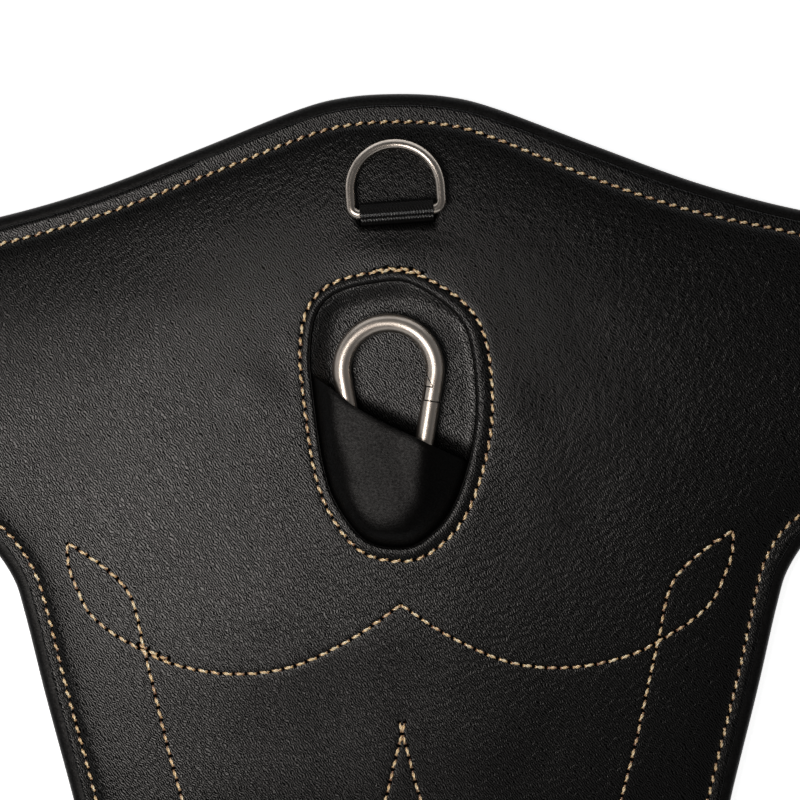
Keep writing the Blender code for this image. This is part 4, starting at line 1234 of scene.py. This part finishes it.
def make_tongue(where, at):
    """A tongue curled round the heel bar, whose flat blade tapers to its tip on the roller."""
    curl, turns = BAR + PLAY + 0.9, 24
    blade = through([(2.4, 3.3), (9, 3.9), (17, 4.6), (REACH, 4.7), (REACH + 2.6, 4.0)], 1.0)
    line = np.vstack([arc((0, 0), curl, 325, 95, turns), blade])
    share = np.clip((np.arange(len(line)) - turns) / (len(line) - turns - 1), 0, 1)
    thick = 0.9 + 0.3 * np.sin(math.pi * np.minimum(share * 1.1, 1))
    wide = 1.9 - 0.8 * share**2
    thick[-1], wide[-1] = 0.5, 0.7
    verts, faces, uv = sweep([at(u, v, 0) for u, v in line], np.stack([thick, wide], 1), 18, up=(0, 1, 0),
                             power=2.6)
    outwards(new_object(f"tongue_steel_{where}", verts, faces, STEEL, f"tongue_{where}",
                        [f"buckle_tongue_{where}"], uv))


def make_roller(where, at):
    """A tube with bevelled ends: radius and place of its profile from its middle outwards."""
    half, bevel, outer, hole, sides = 12.4, 0.45, 3.0, 1.8, 40
    end = [(outer, half - bevel), (outer - 0.12, half - 0.14), (outer - bevel, half), (hole, half)]
    profile = [(r, -q) for r, q in end[::-1]] + end
    turns = np.linspace(0, math.tau, sides, False)
    rings = [[at(REACH + r * math.cos(a), r * math.sin(a), q) for r, q in profile] for a in turns]
    uv = [(q, k / sides) for k in range(sides) for r, q in profile]
    roller = new_object(f"roller_steel_{where}", np.array(rings).reshape(-1, 3),
                        grid_faces(sides, len(profile), True, True), STEEL, f"roller_{where}",
                        [f"buckle_roller_{where}"], uv)
    outwards(roller).data.set_sharp_from_angle(angle=math.radians(50))


# ---- studio --------------------------------------------------------------------------
def area(name, place, target, size, power, colour=(1, 1, 1)):
    """A rectangular light that faces its target."""
    light = bpy.data.lights.new(name, "AREA")
    light.shape, light.size, light.size_y = "RECTANGLE", size[0], size[1]
    light.energy, light.color = power, colour
    obj = bpy.data.objects.new(name, light)
    obj.location = place
    obj.rotation_euler = (Vector(target) - Vector(place)).to_track_quat("-Z", "Y").to_euler()
    bpy.context.scene.collection.objects.link(obj)
    return obj


def make_floor():
    pale = Shader("studio_floor")
    haze = pale.specks(400)
    colour = pale.colours(haze, (0.3, (0.90, 0.90, 0.90)), (0.7, (0.93, 0.93, 0.93)))
    pale.set(Base_Color=colour, Roughness=0.8, Specular_IOR_Level=0.2, Emission_Color=(1, 1, 1, 1),
             Emission_Strength=0.85)
    size, z = 3.0, -0.5 * MM
    mesh = bpy.data.meshes.new("floor")
    mesh.from_pydata([(-size, -size, z), (size, -size, z), (size, size, z), (-size, size, z)], [],
                     [(0, 1, 2, 3)])
    mesh.materials.append(pale.material)
    floor = bpy.data.objects.new("floor", mesh)
    bpy.context.scene.collection.objects.link(floor)


def make_lights():
    """A warm key light low on the left, and a wall of soft light on each side."""
    key = area("key", (-0.108, 0.018, 0.32), (-0.06, 0.04, 0), (0.15, 0.15), 0.58, (1, 0.945, 0.90))
    key.visible_camera = False
    middle_y, away, high = 0.06, 1.7, 0.55
    for name, x, y, power in (("wall_right", away, 0, 0.8), ("wall_left", -away, 0, 4.2),
                              ("wall_front", 0, away, 8.0), ("wall_rear", 0, -away, 5.0)):
        area(name, (x, middle_y + y, high), (0, middle_y, 0), (3.0, 1.1), power)
    world = bpy.data.worlds.new("studio")
    world.use_nodes = True
    background = world.node_tree.nodes["Background"]
    background.inputs["Color"].default_value = (1, 1, 1, 1)
    background.inputs["Strength"].default_value = 0.10
    bpy.context.scene.world = world


def make_camera():
    """Straight above the window, with a view 0.25 m wide."""
    height, view_width, sensor = 1.2, 0.250, 36.0
    camera = bpy.data.cameras.new("camera")
    camera.lens = sensor * height / view_width
    camera.sensor_width = sensor
    camera.clip_start, camera.clip_end = 0.01, 20
    view = bpy.data.objects.new("camera", camera)
    view.location = (0.0004, 0.0615, height + 0.009)
    view.rotation_euler = (0, 0, math.radians(-0.6))
    bpy.context.scene.collection.objects.link(view)
    bpy.context.scene.camera = view
    bpy.context.scene.view_settings.view_transform = "Standard"


make_panel()
make_window()
make_pocket()
make_lining()
make_caps()
make_seams()
make_hook()
make_hook_strap()
make_dee()
make_straps()
make_floor()
make_lights()
make_camera()
